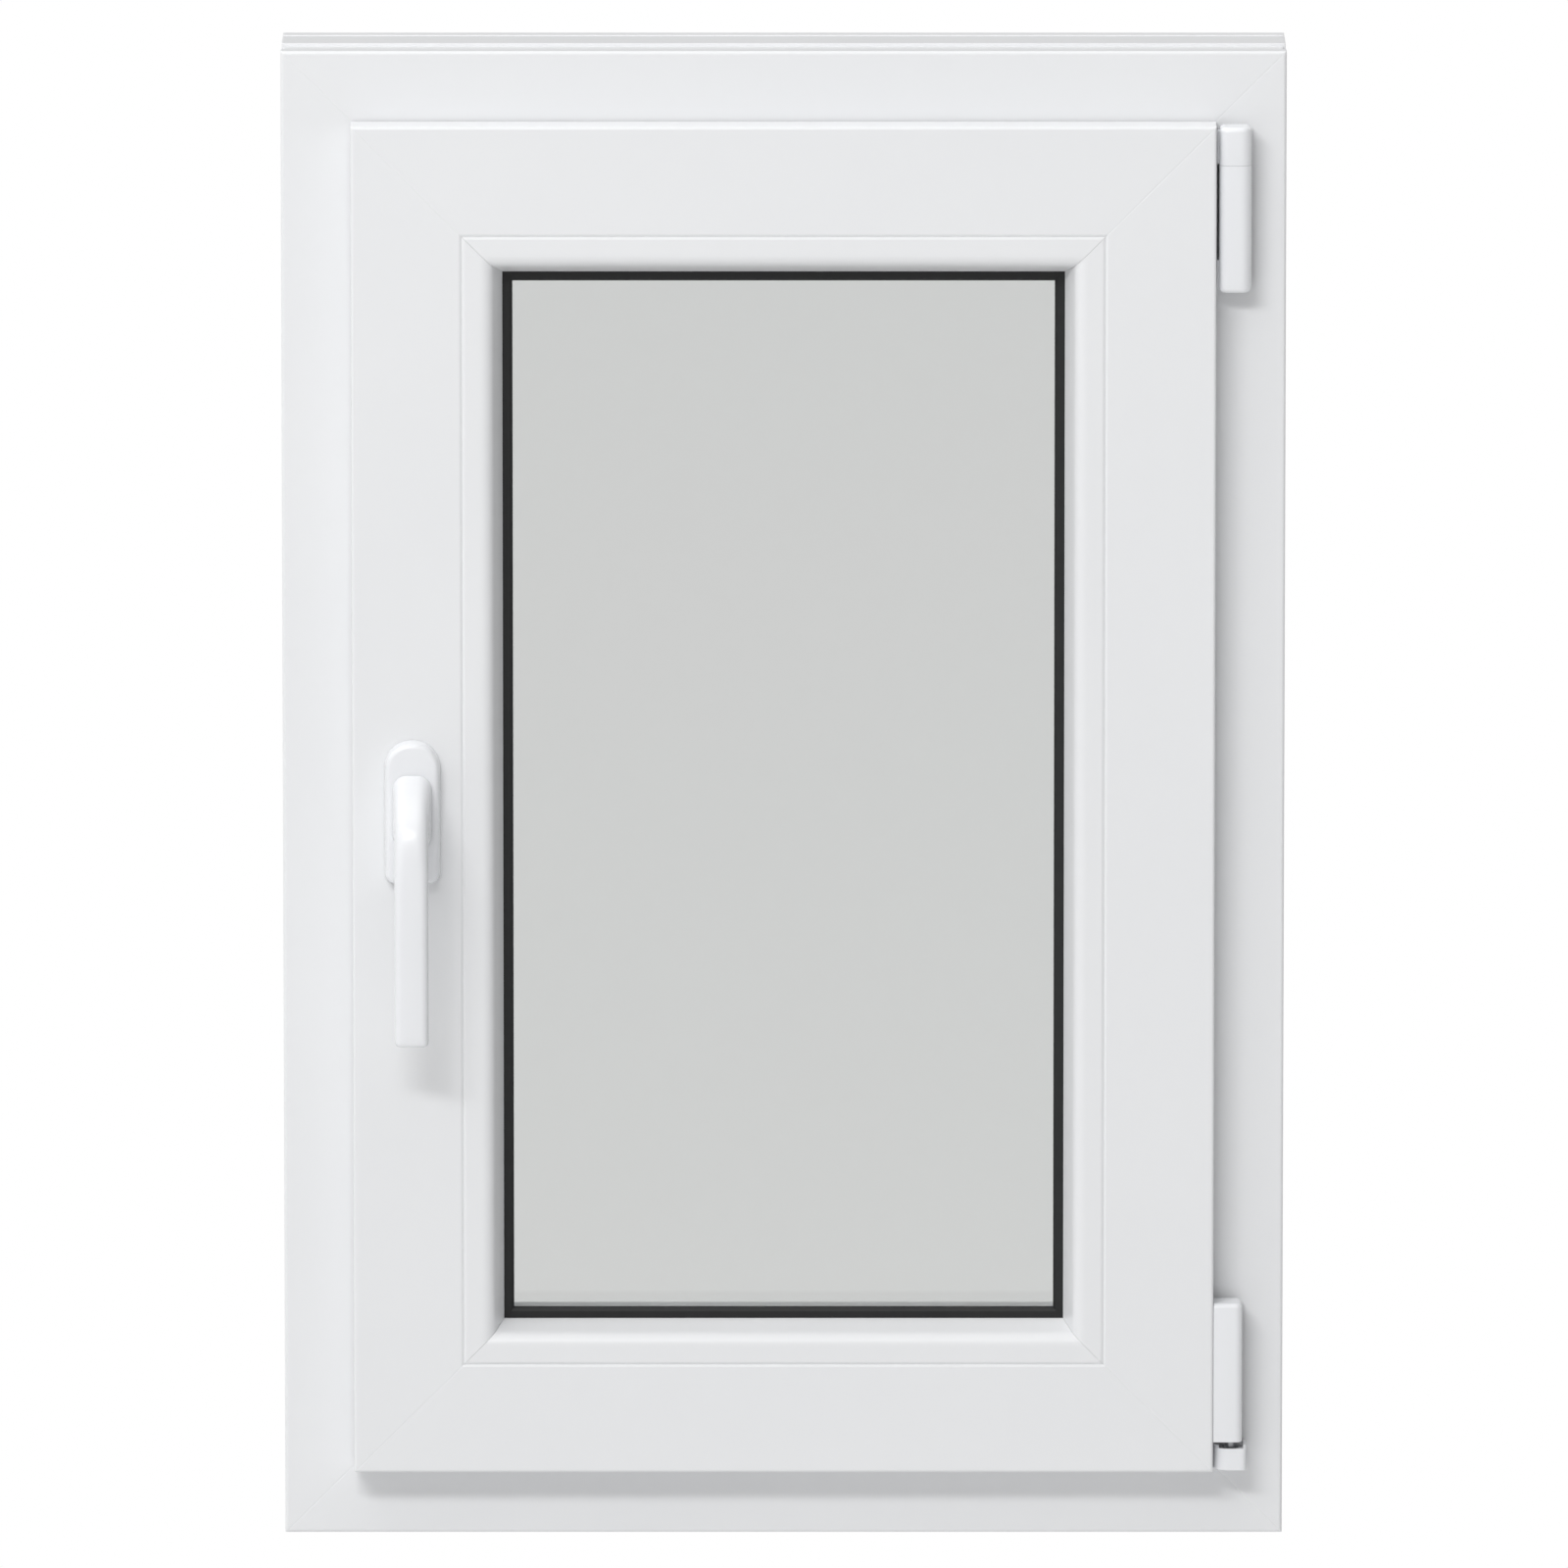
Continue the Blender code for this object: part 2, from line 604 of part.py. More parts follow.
def side_rail():
    """The rail behind the handle, cut as a rack where the pinion runs."""
    u_back, u_face, u_tip = 20.3, 21.7, 23.7
    middle = handle_along()
    root, tip = TOOTH_PITCH * 0.30, TOOTH_PITCH * 0.13
    outline = [(u_back, -185.0), (u_face, -185.0)]
    for k in range(-2, 9):
        z = middle + k * TOOTH_PITCH
        outline += [(u_face, z - root), (u_tip, z - tip), (u_tip, z + tip), (u_face, z + root)]
    outline += [(u_face, 255.0), (u_back, 255.0)]
    rings = [[(u, v, along) for u, along in outline] for v in (GROOVE_Y - 5, GROOVE_Y + 5)]
    place = sash_side("left")
    piece = add("side_drive_rail", loft_mesh(rings, "side_drive_rail"), ZINC, place)
    for z in CAM_HEIGHTS.values():
        add_cam(piece, place, z - (SASH_BASE + SASH_H / 2))
    return piece


def pinion():
    """A gear on the square spindle, with a gap between teeth at the rack when the lever hangs down."""
    root, tip = PITCH_R - 1.15, PITCH_R + 0.85
    outline = []
    for k in range(TEETH):
        middle = 180 + (k + 0.5) * 360 / TEETH
        for radius, half in ((root, 8.6), (PITCH_R, 5.6), (tip, 2.6)):
            outline.append((radius, middle - half))
        for radius, half in ((tip, 2.6), (PITCH_R, 5.6), (root, 8.6)):
            outline.append((radius, middle + half))
    points = [
        (HANDLE_X + r * math.cos(math.radians(a)), HANDLE_Z + r * math.sin(math.radians(a))) for r, a in outline]
    half = SPINDLE / 2 + GAP
    bore = [(HANDLE_X + x * half, HANDLE_Z + z * half) for x, z in ((-1, -1), (1, -1), (1, 1), (-1, 1))]
    return front_piece("drive_pinion", [points, bore], -29.6, -20.4, ZINC)


def gear_case():
    place = sash_side("left")
    middle = handle_along()
    low, high = middle - GEAR_HALF, middle + GEAR_HALF
    case = add("gear_case", box_mesh((22.3, CASE_FRONT, low), (38.8, CASE_SPLIT, high)), STEEL, place)
    cut(case, *on_side(place, (21, -30.5, low - 1), (24.2, CASE_SPLIT + 1, high + 1)))
    cut(case, cylinder_mesh((HANDLE_X, -24.5, HANDLE_Z), "Y", PITCH_R + 1.2, 12))
    cut(case, cylinder_mesh((HANDLE_X, -31, HANDLE_Z), "Y", 5.6, 6))
    lid = add("gear_lid", box_mesh((24.6, CASE_SPLIT + GAP, low), (38.8, CASE_BACK, high)), STEEL, place)
    cut(lid, cylinder_mesh((HANDLE_X, CASE_BACK - 1, HANDLE_Z), "Y", 5.6, 8))
    for z in (HANDLE_Z - SCREW_SPREAD, HANDLE_Z + SCREW_SPREAD):
        cut(case, cylinder_mesh((HANDLE_X, -27, z), "Y", 2.8, 20, sides=16))
    return [case, lid]


def faceplate():
    place = sash_side("left")
    middle = handle_along()
    return add("gear_faceplate", box_mesh((17.7, -33, middle - 95), (19.7, -17, middle + 95)), ZINC, place)


def corner_drive(name, x, z, leg, up):
    """An angle round one corner of the sash, over the drive rails' ends."""
    thick = 2.0
    outline = [
        (x, z), (x + leg, z), (x + leg, z - up * thick), (x + thick, z - up * thick),
        (x + thick, z - up * leg), (x, z - up * leg)]
    return front_piece(name, [outline], -33, -17, ZINC)


def corner_drives():
    x = -SASH_W / 2 + 17.7
    return [
        corner_drive("corner_drive_top", x, SASH_BASE + SASH_H - 17.7, 48, 1),
        corner_drive("corner_drive_bottom", x, SASH_BASE + 17.7, 48, -1)]


# ---- handle

def rosette_ring(width, height, low_radius, high_radius, depth):
    """One level of the rosette, depth millimetres out from the sash."""
    outline = rounded_outline(width, height, low_radius, high_radius)
    return [(HANDLE_X + x, SASH_FRONT - depth, HANDLE_Z + z) for x, z in outline]


def rosette_base():
    rings = [rosette_ring(23, 66, 3, 10, depth) for depth in (GAP, 3.3)]
    base = add("rosette_base", loft_mesh(rings, "rosette_base"), ZINC)
    cut(base, cylinder_mesh((HANDLE_X, SASH_FRONT - 2, HANDLE_Z), "Y", 5.8, 8))
    for z in (HANDLE_Z - SCREW_SPREAD, HANDLE_Z + SCREW_SPREAD):
        cut(base, cylinder_mesh((HANDLE_X, SASH_FRONT - 2, z), "Y", 2.8, 8, sides=16))
    return base


def rosette_cap():
    w, h = ROSETTE_W, ROSETTE_H
    levels = [
        (w, h, 5, 13.5, GAP), (w - 0.8, h - 0.8, 4.6, 13.1, ROSETTE_DEEP - 2.4),
        (w - 2.2, h - 2.2, 4.0, 12.4, ROSETTE_DEEP - 0.7), (w - 4.6, h - 4.6, 3.2, 11.2, ROSETTE_DEEP)]
    cap = add("rosette_cap", loft_mesh([rosette_ring(*level) for level in levels], "cap"), WHITE_GLOSS)
    room = [rosette_ring(w - 3.2, h - 3.2, 3.4, 11.9, depth) for depth in (-1, ROSETTE_DEEP - 1.6)]
    cut(cap, loft_mesh(room, "room"))
    cut(cap, cylinder_mesh((HANDLE_X, SASH_FRONT - 8, HANDLE_Z), "Y", NECK_HOLE_R, 8, sides=32))
    return smooth(cap, 30)


def rosette_screw(name, z):
    head = cylinder_mesh((HANDLE_X, SASH_FRONT - 4.7, z), "Y", 4.4, 2.2, sides=16)
    screw = add(name, head, ZINC)
    join(screw, cylinder_mesh((HANDLE_X, SASH_FRONT + 10.0, z), "Y", 2.4, 29, sides=12))
    return smooth(screw)


def lever_ring(out, rise, heading, width, thick):
    """One section of the lever. It starts outwards from the sash at heading 0 and hangs down at heading 90."""
    turn = math.radians(heading)
    corner = min(width, thick) * 0.34
    ring = []
    for x, t in rounded_outline(width, thick, corner, corner):
        y = SASH_FRONT - (out + t * math.sin(turn))
        ring.append((HANDLE_X + x, y, HANDLE_Z + rise + t * math.cos(turn)))
    return ring


def lever():
    path = [
        (9.4, 1.0, 0, 19.5, 37.0), (14.0, 1.0, 0, 18.8, 34.5), (21.5, 0.6, 8, 18.0, 30.0), (29.5, -1.2, 28, 17.4, 25.5),
        (36.5, -5.5, 52, 17.0, 20.5), (41.5, -13.0, 73, 16.8, 15.8), (43.6, -24.0, 86, 16.8, 12.8),
        (43.8, -40.0, 91, 16.8, 11.6), (43.0, -62.0, 92.5, 16.8, 11.0), (41.2, -90.0, 94, 16.8, 10.6),
        (39.7, -111.8, 94, 16.8, 10.2)]
    piece = add("lever", loft_mesh([lever_ring(*station) for station in path], "lever"), WHITE_GLOSS)
    join(piece, cylinder_mesh((HANDLE_X, SASH_FRONT - 7.4, HANDLE_Z), "Y", NECK_HOLE_R - 0.6, 7, sides=32))
    half = SPINDLE / 2 + GAP
    low = (HANDLE_X - half, SASH_FRONT - 15, HANDLE_Z - half)
    high = (HANDLE_X + half, SASH_FRONT, HANDLE_Z + half)
    cut(piece, box_mesh(low, high))
    return smooth(piece, 30)


def spindle():
    half = SPINDLE / 2
    low = (HANDLE_X - half, SASH_FRONT - 14.5, HANDLE_Z - half)
    high = (HANDLE_X + half, -19.0, HANDLE_Z + half)
    return add("spindle", box_mesh(low, high), STEEL)


# ---- assembly

def joint_empty(name, x, y, z, pieces, parent=None):
    """An empty on a joint's axis that carries the pieces which move with it."""
    empty = bpy.data.objects.new(name, None)
    place = Matrix.Translation(Vector((x, y, z)) * MM)
    window.objects.link(empty)
    if parent is not None:
        hang(empty, parent[0], parent[1], place)
    else:
        empty.matrix_world = place
    for piece in pieces:
        hang(piece, empty, place, piece.matrix_world.copy())
    return empty, place


def hang(obj, parent, parent_place, place):
    obj.parent = parent
    obj.matrix_parent_inverse = parent_place.inverted()
    obj.matrix_basis = place


def build():
    frame_members()
    frame_steels()
    frame_gasket()
    strikers()
    drain_cover("drain_cover_left", -DRAIN_X)
    drain_cover("drain_cover_right", DRAIN_X)
    corner_bracket()
    top_bearing()
    top_pin()
    top_cover()

    sash = sash_members() + sash_steels() + [sash_seal()] + glass_unit() + glazing_gaskets() + beads()
    sash += setting_blocks() + [corner_hinge(), corner_pin(), corner_cover(), stay_guide()] + gear_case()
    sash += [faceplate()] + corner_drives() + [rosette_base(), rosette_cap()]
    sash += [
        rosette_screw("rosette_screw_lower", HANDLE_Z - SCREW_SPREAD),
        rosette_screw("rosette_screw_upper", HANDLE_Z + SCREW_SPREAD)]

    turn = joint_empty("sash_turn_axis", HINGE_X, HINGE_Y, 0, [pivot_bush()])
    joint_empty("stay_swing_axis", HINGE_X, HINGE_Y, STAY_Z, [stay_arm(), stay_cap()], turn)
    tilt = joint_empty("sash_tilt_axis", HINGE_X, HINGE_Y, TILT_Z, sash, turn)
    joint_empty("handle_axis", HANDLE_X, SASH_FRONT, HANDLE_Z, [lever(), spindle(), pinion()], tilt)
    rails = [
        side_rail(), rail_box("top", -172, -75, TOP_CAM_X), rail_box("bottom", -60, 170, -BOTTOM_CAM_X)]
    joint_empty("drive_rails", HANDLE_X, GROOVE_Y, HANDLE_Z, rails, tilt)


build()
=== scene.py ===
import json
import math

import bmesh
import bpy
from mathutils import Matrix, Vector


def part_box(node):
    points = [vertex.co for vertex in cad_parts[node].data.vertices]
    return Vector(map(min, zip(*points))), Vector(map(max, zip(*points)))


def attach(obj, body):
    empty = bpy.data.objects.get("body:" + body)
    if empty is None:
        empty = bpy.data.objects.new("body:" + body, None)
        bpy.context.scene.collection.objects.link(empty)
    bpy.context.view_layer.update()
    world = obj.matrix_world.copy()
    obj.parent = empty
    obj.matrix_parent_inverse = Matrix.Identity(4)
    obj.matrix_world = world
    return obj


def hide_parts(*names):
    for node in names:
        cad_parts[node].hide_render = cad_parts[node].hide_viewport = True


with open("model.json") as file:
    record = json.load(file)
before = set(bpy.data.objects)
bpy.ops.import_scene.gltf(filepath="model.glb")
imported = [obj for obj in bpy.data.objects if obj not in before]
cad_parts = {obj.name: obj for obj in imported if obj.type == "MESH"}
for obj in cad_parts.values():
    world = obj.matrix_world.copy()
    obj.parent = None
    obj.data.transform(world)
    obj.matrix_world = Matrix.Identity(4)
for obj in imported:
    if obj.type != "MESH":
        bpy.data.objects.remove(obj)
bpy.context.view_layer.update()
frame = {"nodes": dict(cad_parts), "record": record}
nodes = frame["nodes"]
mm = 0.001
print("frame loaded:", len(nodes), "nodes")


# shader maths

class Wire:
    # a node's output socket that can be used in plain arithmetic
    def __init__(self, maker, socket):
        self.maker = maker
        self.socket = socket

    def maths(self, operation, first, second):
        made = self.maker.node("Math", {"operation": operation}, {0: first, 1: second})
        return Wire(self.maker, made.outputs[0])

    def __add__(self, other):
        return self.maths("ADD", self, other)

    def __radd__(self, other):
        return self.maths("ADD", other, self)

    def __sub__(self, other):
        return self.maths("SUBTRACT", self, other)

    def __rsub__(self, other):
        return self.maths("SUBTRACT", other, self)

    def __mul__(self, other):
        return self.maths("MULTIPLY", self, other)

    def __rmul__(self, other):
        return self.maths("MULTIPLY", other, self)

    def __pow__(self, other):
        return self.maths("POWER", self, other)


class Finish:
    # one material with its Principled shader
    def __init__(self, name, **shaderValues):
        self.material = bpy.data.materials.new(name)
        self.material.use_nodes = True
        self.tree = self.material.node_tree
        self.shader = self.tree.nodes["Principled BSDF"]
        for socketName, value in shaderValues.items():
            self.shader.inputs[socketName.replace("_", " ")].default_value = value
        self.place = Wire(self, self.node("TexCoord").outputs["Object"])

    def node(self, kind, settings=None, sockets=None):
        made = self.tree.nodes.new("ShaderNode" + kind)
        for key, value in (settings or {}).items():
            setattr(made, key, value)
        for key, value in (sockets or {}).items():
            if isinstance(value, Wire):
                self.tree.links.new(value.socket, made.inputs[key])
            else:
                made.inputs[key].default_value = value
        return made

    def noise(self, scale, detail=2.0, roughness=0.5, stretch=None):
        place = self.place
        if stretch is not None:
            turned = self.node("Mapping", {}, {"Vector": place, "Scale": stretch})
            place = Wire(self, turned.outputs[0])
        sockets = {"Vector": place, "Scale": scale, "Detail": detail, "Roughness": roughness}
        return Wire(self, self.node("TexNoise", {}, sockets).outputs["Fac"])

    def blendColors(self, factor, low, high):
        made = self.node("Mix", {"data_type": "RGBA"}, {0: factor, 6: low, 7: high})
        return Wire(self, made.outputs[2])

    def bump(self, height, strength, distance):
        made = self.node("Bump", {}, {"Height": height, "Strength": strength, "Distance": distance})
        return Wire(self, made.outputs[0])

    def feed(self, **wires):
        for socketName, wire in wires.items():
            self.tree.links.new(wire.socket, self.shader.inputs[socketName.replace("_", " ")])
        return self


class Sky(Finish):
    # the same node tools on the world's tree
    def __init__(self, tree):
        self.tree = tree


def grey(level, tint=(1.0, 1.0, 1.0)):
    return (level * tint[0], level * tint[1], level * tint[2], 1.0)


# noise scales are in cycles a metre, levels and roughness run from 0 to 1
profileLook = {
    "level": 0.868, "spread": 0.012, "lowTint": (0.976, 0.986, 1.003), "highTint": (0.980, 0.988, 1.0),
    "shine": 0.42, "roughness": 0.34, "cloudScale": 9.0, "grainScale": 900.0, "grain": 0.035}


def makeWhiteProfile():
    look = profileLook
    made = Finish("whiteProfile", Specular_IOR_Level=look["shine"])
    cloud = made.noise(look["cloudScale"], 3.0)
    fine = made.noise(look["grainScale"], 2.0)
    low = grey(look["level"] - look["spread"], look["lowTint"])
    high = grey(look["level"] + look["spread"], look["highTint"])
    color = made.blendColors(cloud, low, high)
    roughness = look["roughness"] + 0.08 * (cloud - 0.5) + 0.05 * (fine - 0.5)
    normal = made.bump(fine, look["grain"], 0.00006)
    return made.feed(Base_Color=color, Roughness=roughness, Normal=normal).material


coatLook = {
    "level": 0.90, "darker": 0.012, "lighter": 0.008, "tint": (0.968, 0.980, 1.004),
    "shine": 0.5, "roughness": 0.24, "cloudScale": 30.0, "peelScale": 420.0, "peel": 0.06}


def makeWhiteCoat():
    look = coatLook
    made = Finish("whiteCoat", Specular_IOR_Level=look["shine"])
    peel = made.noise(look["peelScale"], 1.5)
    cloud = made.noise(look["cloudScale"], 2.0)
    low = grey(look["level"] - look["darker"], look["tint"])
    high = grey(look["level"] + look["lighter"], look["tint"])
    color = made.blendColors(cloud, low, high)
    roughness = look["roughness"] + 0.07 * (cloud - 0.5)
    normal = made.bump(peel, look["peel"], 0.00008)
    return made.feed(Base_Color=color, Roughness=roughness, Normal=normal).material


rubberLook = {
    "dark": 0.75, "light": 1.35, "shine": 0.35, "dustScale": 140.0, "grainScale": 2600.0, "grain": 0.18}


def makeRubber(name, level, tint, roughness):
    look = rubberLook
    made = Finish(name, Specular_IOR_Level=look["shine"])
    dust = made.noise(look["dustScale"], 4.0, 0.6)
    fine = made.noise(look["grainScale"], 2.0)
    color = made.blendColors(dust, grey(level * look["dark"], tint), grey(level * look["light"], tint))
    normal = made.bump(fine, look["grain"], 0.00008)
    return made.feed(Base_Color=color, Roughness=roughness + 0.16 * (dust - 0.5), Normal=normal).material


zincLook = {
    "low": (0.50, 0.51, 0.53, 1.0), "high": (0.70, 0.71, 0.72, 1.0), "roughness": 0.26,
    "cloudScale": 85.0, "drawnScale": 240.0, "drawnStretch": (1.0, 1.0, 0.06), "grain": 0.10}


def makeZinc():
    look = zincLook
    made = Finish("zincPlate", Metallic=1.0)
    cloud = made.noise(look["cloudScale"], 4.0, 0.6)
    drawn = made.noise(look["drawnScale"], 3.0, 0.6, look["drawnStretch"])
    color = made.blendColors(cloud, look["low"], look["high"])
    roughness = look["roughness"] + 0.16 * cloud + 0.08 * (drawn - 0.5)
    normal = made.bump(drawn, look["grain"], 0.00005)
    return made.feed(Base_Color=color, Roughness=roughness, Normal=normal).material


steelLook = {
    "low": (0.46, 0.48, 0.50, 1.0), "high": (0.62, 0.63, 0.64, 1.0), "roughness": 0.36,
    "flakeScale": 160.0, "cloudScale": 60.0, "grain": 0.08}


def makeSteel():
    look = steelLook
    made = Finish("galvanisedSteel", Metallic=1.0)
    cells = made.node("TexVoronoi", {}, {"Vector": made.place, "Scale": look["flakeScale"]})
    flake = Wire(made, cells.outputs["Distance"])
    cloud = made.noise(look["cloudScale"], 3.0)
    color = made.blendColors(flake, look["low"], look["high"])
    roughness = look["roughness"] + 0.20 * cloud + 0.10 * flake
    normal = made.bump(flake, look["grain"], 0.00006)
    return made.feed(Base_Color=color, Roughness=roughness, Normal=normal).material


polymerLook = {"cloudScale": 70.0, "grainScale": 1200.0, "grain": 0.12}


def makePolymer(name, low, high, roughness):
    look = polymerLook
    made = Finish(name)
    cloud = made.noise(look["cloudScale"], 3.0)
    fine = made.noise(look["grainScale"], 2.0)
    color = made.blendColors(cloud, low, high)
    normal = made.bump(fine, look["grain"], 0.0001)
    return made.feed(Base_Color=color, Roughness=roughness + 0.1 * (cloud - 0.5), Normal=normal).material


glassLook = {"tint": (0.992, 1.0, 0.994), "drift": 0.004, "driftScale": 3.0, "roughness": 0.002, "ior": 1.45}


def makeGlass():
    # clear float glass: slightly tinted, with a trace of uneven reflection
    look = glassLook
    made = Finish("clearGlass", Transmission_Weight=1.0, IOR=look["ior"])
    drift = made.noise(look["driftScale"], 1.0)
    red, green, blue = look["tint"]
    shift = look["drift"]
    pinker = (red + shift, green - shift / 2, blue, 1.0)
    greener = (red - shift, green + shift / 2, blue, 1.0)
    color = made.blendColors(drift, pinker, greener)
    return made.feed(Base_Color=color, Roughness=look["roughness"] + 0.006 * drift).material


materials = {
    "white_profile": makeWhiteProfile(),
    "white_cover": makeWhiteCoat(),
    "black_gasket": makeRubber("blackGasket", 0.016, (0.97, 1.0, 1.02), 0.50),
    "grey_seal": makeRubber("greySeal", 0.24, (0.99, 1.0, 1.01), 0.62),
    "zinc_hardware": makeZinc(),
    "galvanised_steel": makeSteel(),
    "spacer_grey": makePolymer("spacerGrey", (0.20, 0.205, 0.21, 1.0), (0.27, 0.275, 0.28, 1.0), 0.42),
    "setting_block": makePolymer("settingBlock", (0.05, 0.13, 0.34, 1.0), (0.07, 0.17, 0.42, 1.0), 0.46),
    "clear_glass": makeGlass()}
print("materials made:", len(materials))


# mesh tools: the angles are in degrees, and an edge over its own is drawn sharp
sharpOver = {"section": 22.0, "fitting": 25.0, "rosette": 28.0, "plain": 30.0, "cover": 35.0, "lever": 40.0}


def meshObject(name, bm, slotName, sharp=sharpOver["plain"]):
    mesh = bpy.data.meshes.new(name)
    bm.to_mesh(mesh)
    bm.free()
    made = bpy.data.objects.new(name, mesh)
    bpy.context.scene.collection.objects.link(made)
    mesh.materials.append(materials[slotName])
    mesh.shade_smooth()
    mesh.set_sharp_from_angle(angle=math.radians(sharp))
    return made


def settle(piece, slotName, sharp=sharpOver["plain"]):
    # applies every modifier and keeps one material
    bpy.context.view_layer.update()
    evaluated = piece.evaluated_get(bpy.context.evaluated_depsgraph_get())
    mesh = bpy.data.meshes.new_from_object(evaluated)
    piece.modifiers.clear()
    piece.data = mesh
    mesh.materials.clear()
    mesh.materials.append(materials[slotName])
    mesh.shade_smooth()
    mesh.set_sharp_from_angle(angle=math.radians(sharp))
    return piece


def finishPiece(piece, body, slotName, *stoodFor):
    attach(piece, body)
    if stoodFor:
        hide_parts(*stoodFor)
    return piece


guardStretch = 1.12    # a rounded corner's flat strip keeps its bend off the long faces


def roundedOutline(points, steps=6):
    # points are (u, v, radius); each corner becomes an arc with a short flat strip at both ends
    count = len(points)
    outline = []
    for i, (u, v, radius) in enumerate(points):
        corner = Vector((u, v))
        if radius == 0:
            outline.append((u, v))
            continue
        back = (Vector(points[i - 1][:2]) - corner).normalized()
        ahead = (Vector(points[(i + 1) % count][:2]) - corner).normalized()
        half = back.angle(ahead) / 2
        reach = radius / math.tan(half)
        centre = corner + (back + ahead).normalized() * (radius / math.sin(half))
        start = corner + back * reach - centre
        end = corner + ahead * reach - centre
        first = math.atan2(start.y, start.x)
        swing = math.atan2(end.y, end.x) - first
        swing = (swing + math.pi) % (2 * math.pi) - math.pi
        outline.append(tuple(corner + back * reach * guardStretch))
        for k in range(steps + 1):
            angle = first + swing * k / steps
            outline.append((centre.x + radius * math.cos(angle), centre.y + radius * math.sin(angle)))
        outline.append(tuple(corner + ahead * reach * guardStretch))
    return outline


def insetOutline(outline, amount):
    area = sum(a[0] * b[1] - b[0] * a[1] for a, b in zip(outline, outline[1:] + outline[:1]))
    turn = 1 if area > 0 else -1
    moved = []
    for i, point in enumerate(outline):
        along = Vector(outline[(i + 1) % len(outline)]) - Vector(outline[i - 1])
        if along.length == 0:
            moved.append(point)
            continue
        along.normalize()
        moved.append((point[0] - turn * along.y * amount, point[1] + turn * along.x * amount))
    return moved


def skin(bm, loops, closed):
    # quads between loops of equal length, in order
    pairs = list(zip(loops, loops[1:]))
    if closed:
        pairs.append((loops[-1], loops[0]))
    count = len(loops[0])
    for near, far in pairs:
        for i in range(count):
            j = (i + 1) % count
            bm.faces.new((near[i], near[j], far[j], far[i]))


def cornerPoint(rect, corner, u, v):
    left, right, low, high = rect
    x = left + u * mm if corner in (0, 3) else right - u * mm
    z = low + u * mm if corner in (0, 1) else high - u * mm
    return Vector((x, v * mm, z))


sideWay = (Vector((1, 0, 0)), Vector((0, 0, 1)), Vector((-1, 0, 0)), Vector((0, 0, -1)))


weldLine = {"half": 0.4, "guard": 1.2, "deep": 0.1}


def weldedRing(name, rect, outline, slotName):
    # a section carried round a rectangle, with a fine weld groove across each corner
    bm = bmesh.new()
    grooved = insetOutline(outline, weldLine["deep"])
    loops = []
    for corner in range(4):
        before, after = -sideWay[corner - 1] * mm, sideWay[corner] * mm
        sections = (
            (outline, before * weldLine["guard"]), (outline, before * weldLine["half"]), (grooved, Vector()),
            (outline, after * weldLine["half"]), (outline, after * weldLine["guard"]))
        for section, shift in sections:
            loops.append([bm.verts.new(cornerPoint(rect, corner, u, v) + shift) for u, v in section])
    skin(bm, loops, True)
    bmesh.ops.recalc_face_normals(bm, faces=bm.faces)
    return meshObject(name, bm, slotName, sharpOver["section"])


def plainRing(name, rect, outline, slotName):
    bm = bmesh.new()
    loops = [[bm.verts.new(cornerPoint(rect, corner, u, v)) for u, v in outline] for corner in range(4)]
    skin(bm, loops, True)
    bmesh.ops.recalc_face_normals(bm, faces=bm.faces)
    return meshObject(name, bm, slotName)


def mitredLength(name, rect, corner, outline, slotName, gap):
    # the side that starts at this corner, cut at 45 degrees at both ends
    bm = bmesh.new()
    way = sideWay[corner] * gap * mm
    start = [bm.verts.new(cornerPoint(rect, corner, u, v) + way) for u, v in outline]
    end = [bm.verts.new(cornerPoint(rect, (corner + 1) % 4, u, v) - way) for u, v in outline]
    skin(bm, [start, end], False)
    bm.faces.new(start)
    bm.faces.new(end)
    bmesh.ops.recalc_face_normals(bm, faces=bm.faces)
    return meshObject(name, bm, slotName, sharpOver["section"])


def loft(name, rings, slotName, sharp=sharpOver["cover"]):
    # a closed skin through rings of equal length, capped at both ends
    bm = bmesh.new()
    loops = [[bm.verts.new(point) for point in ring] for ring in rings]
    skin(bm, loops, False)
    bm.faces.new(loops[0])
    bm.faces.new(loops[-1])
    bmesh.ops.recalc_face_normals(bm, faces=bm.faces)
    return meshObject(name, bm, slotName, sharp)


def toolBox(low, high):
    low, high = Vector(low), Vector(high)
    bm = bmesh.new()
    size = Matrix.Diagonal((*(high - low), 1.0))
    bmesh.ops.create_cube(bm, size=1.0, matrix=Matrix.Translation((low + high) / 2) @ size)
    return meshObject("tool", bm, "white_profile")


def toolRod(centre, axis, radius, length, sides=40):
    turn = {"X": Matrix.Rotation(math.pi / 2, 4, "Y"), "Y": Matrix.Rotation(math.pi / 2, 4, "X")}
    bm = bmesh.new()
    bmesh.ops.create_cone(
        bm, cap_ends=True, segments=sides, radius1=radius, radius2=radius, depth=length,
        matrix=Matrix.Translation(centre) @ turn.get(axis, Matrix()))
    return meshObject("tool", bm, "white_profile")


def carve(piece, tools, slotName, sharp=sharpOver["plain"], operation="DIFFERENCE"):
    # cuts (or joins) each tool and then removes it
    for tool in tools:
        modifier = piece.modifiers.new("carve", "BOOLEAN")
        modifier.operation = operation
        modifier.object = tool
    settle(piece, slotName, sharp)
    for tool in tools:
        bpy.data.objects.remove(tool)
    return piece


easing = {"merge": 0.000002, "flatUnder": 1.0, "segments": 2, "cornersOver": 40}


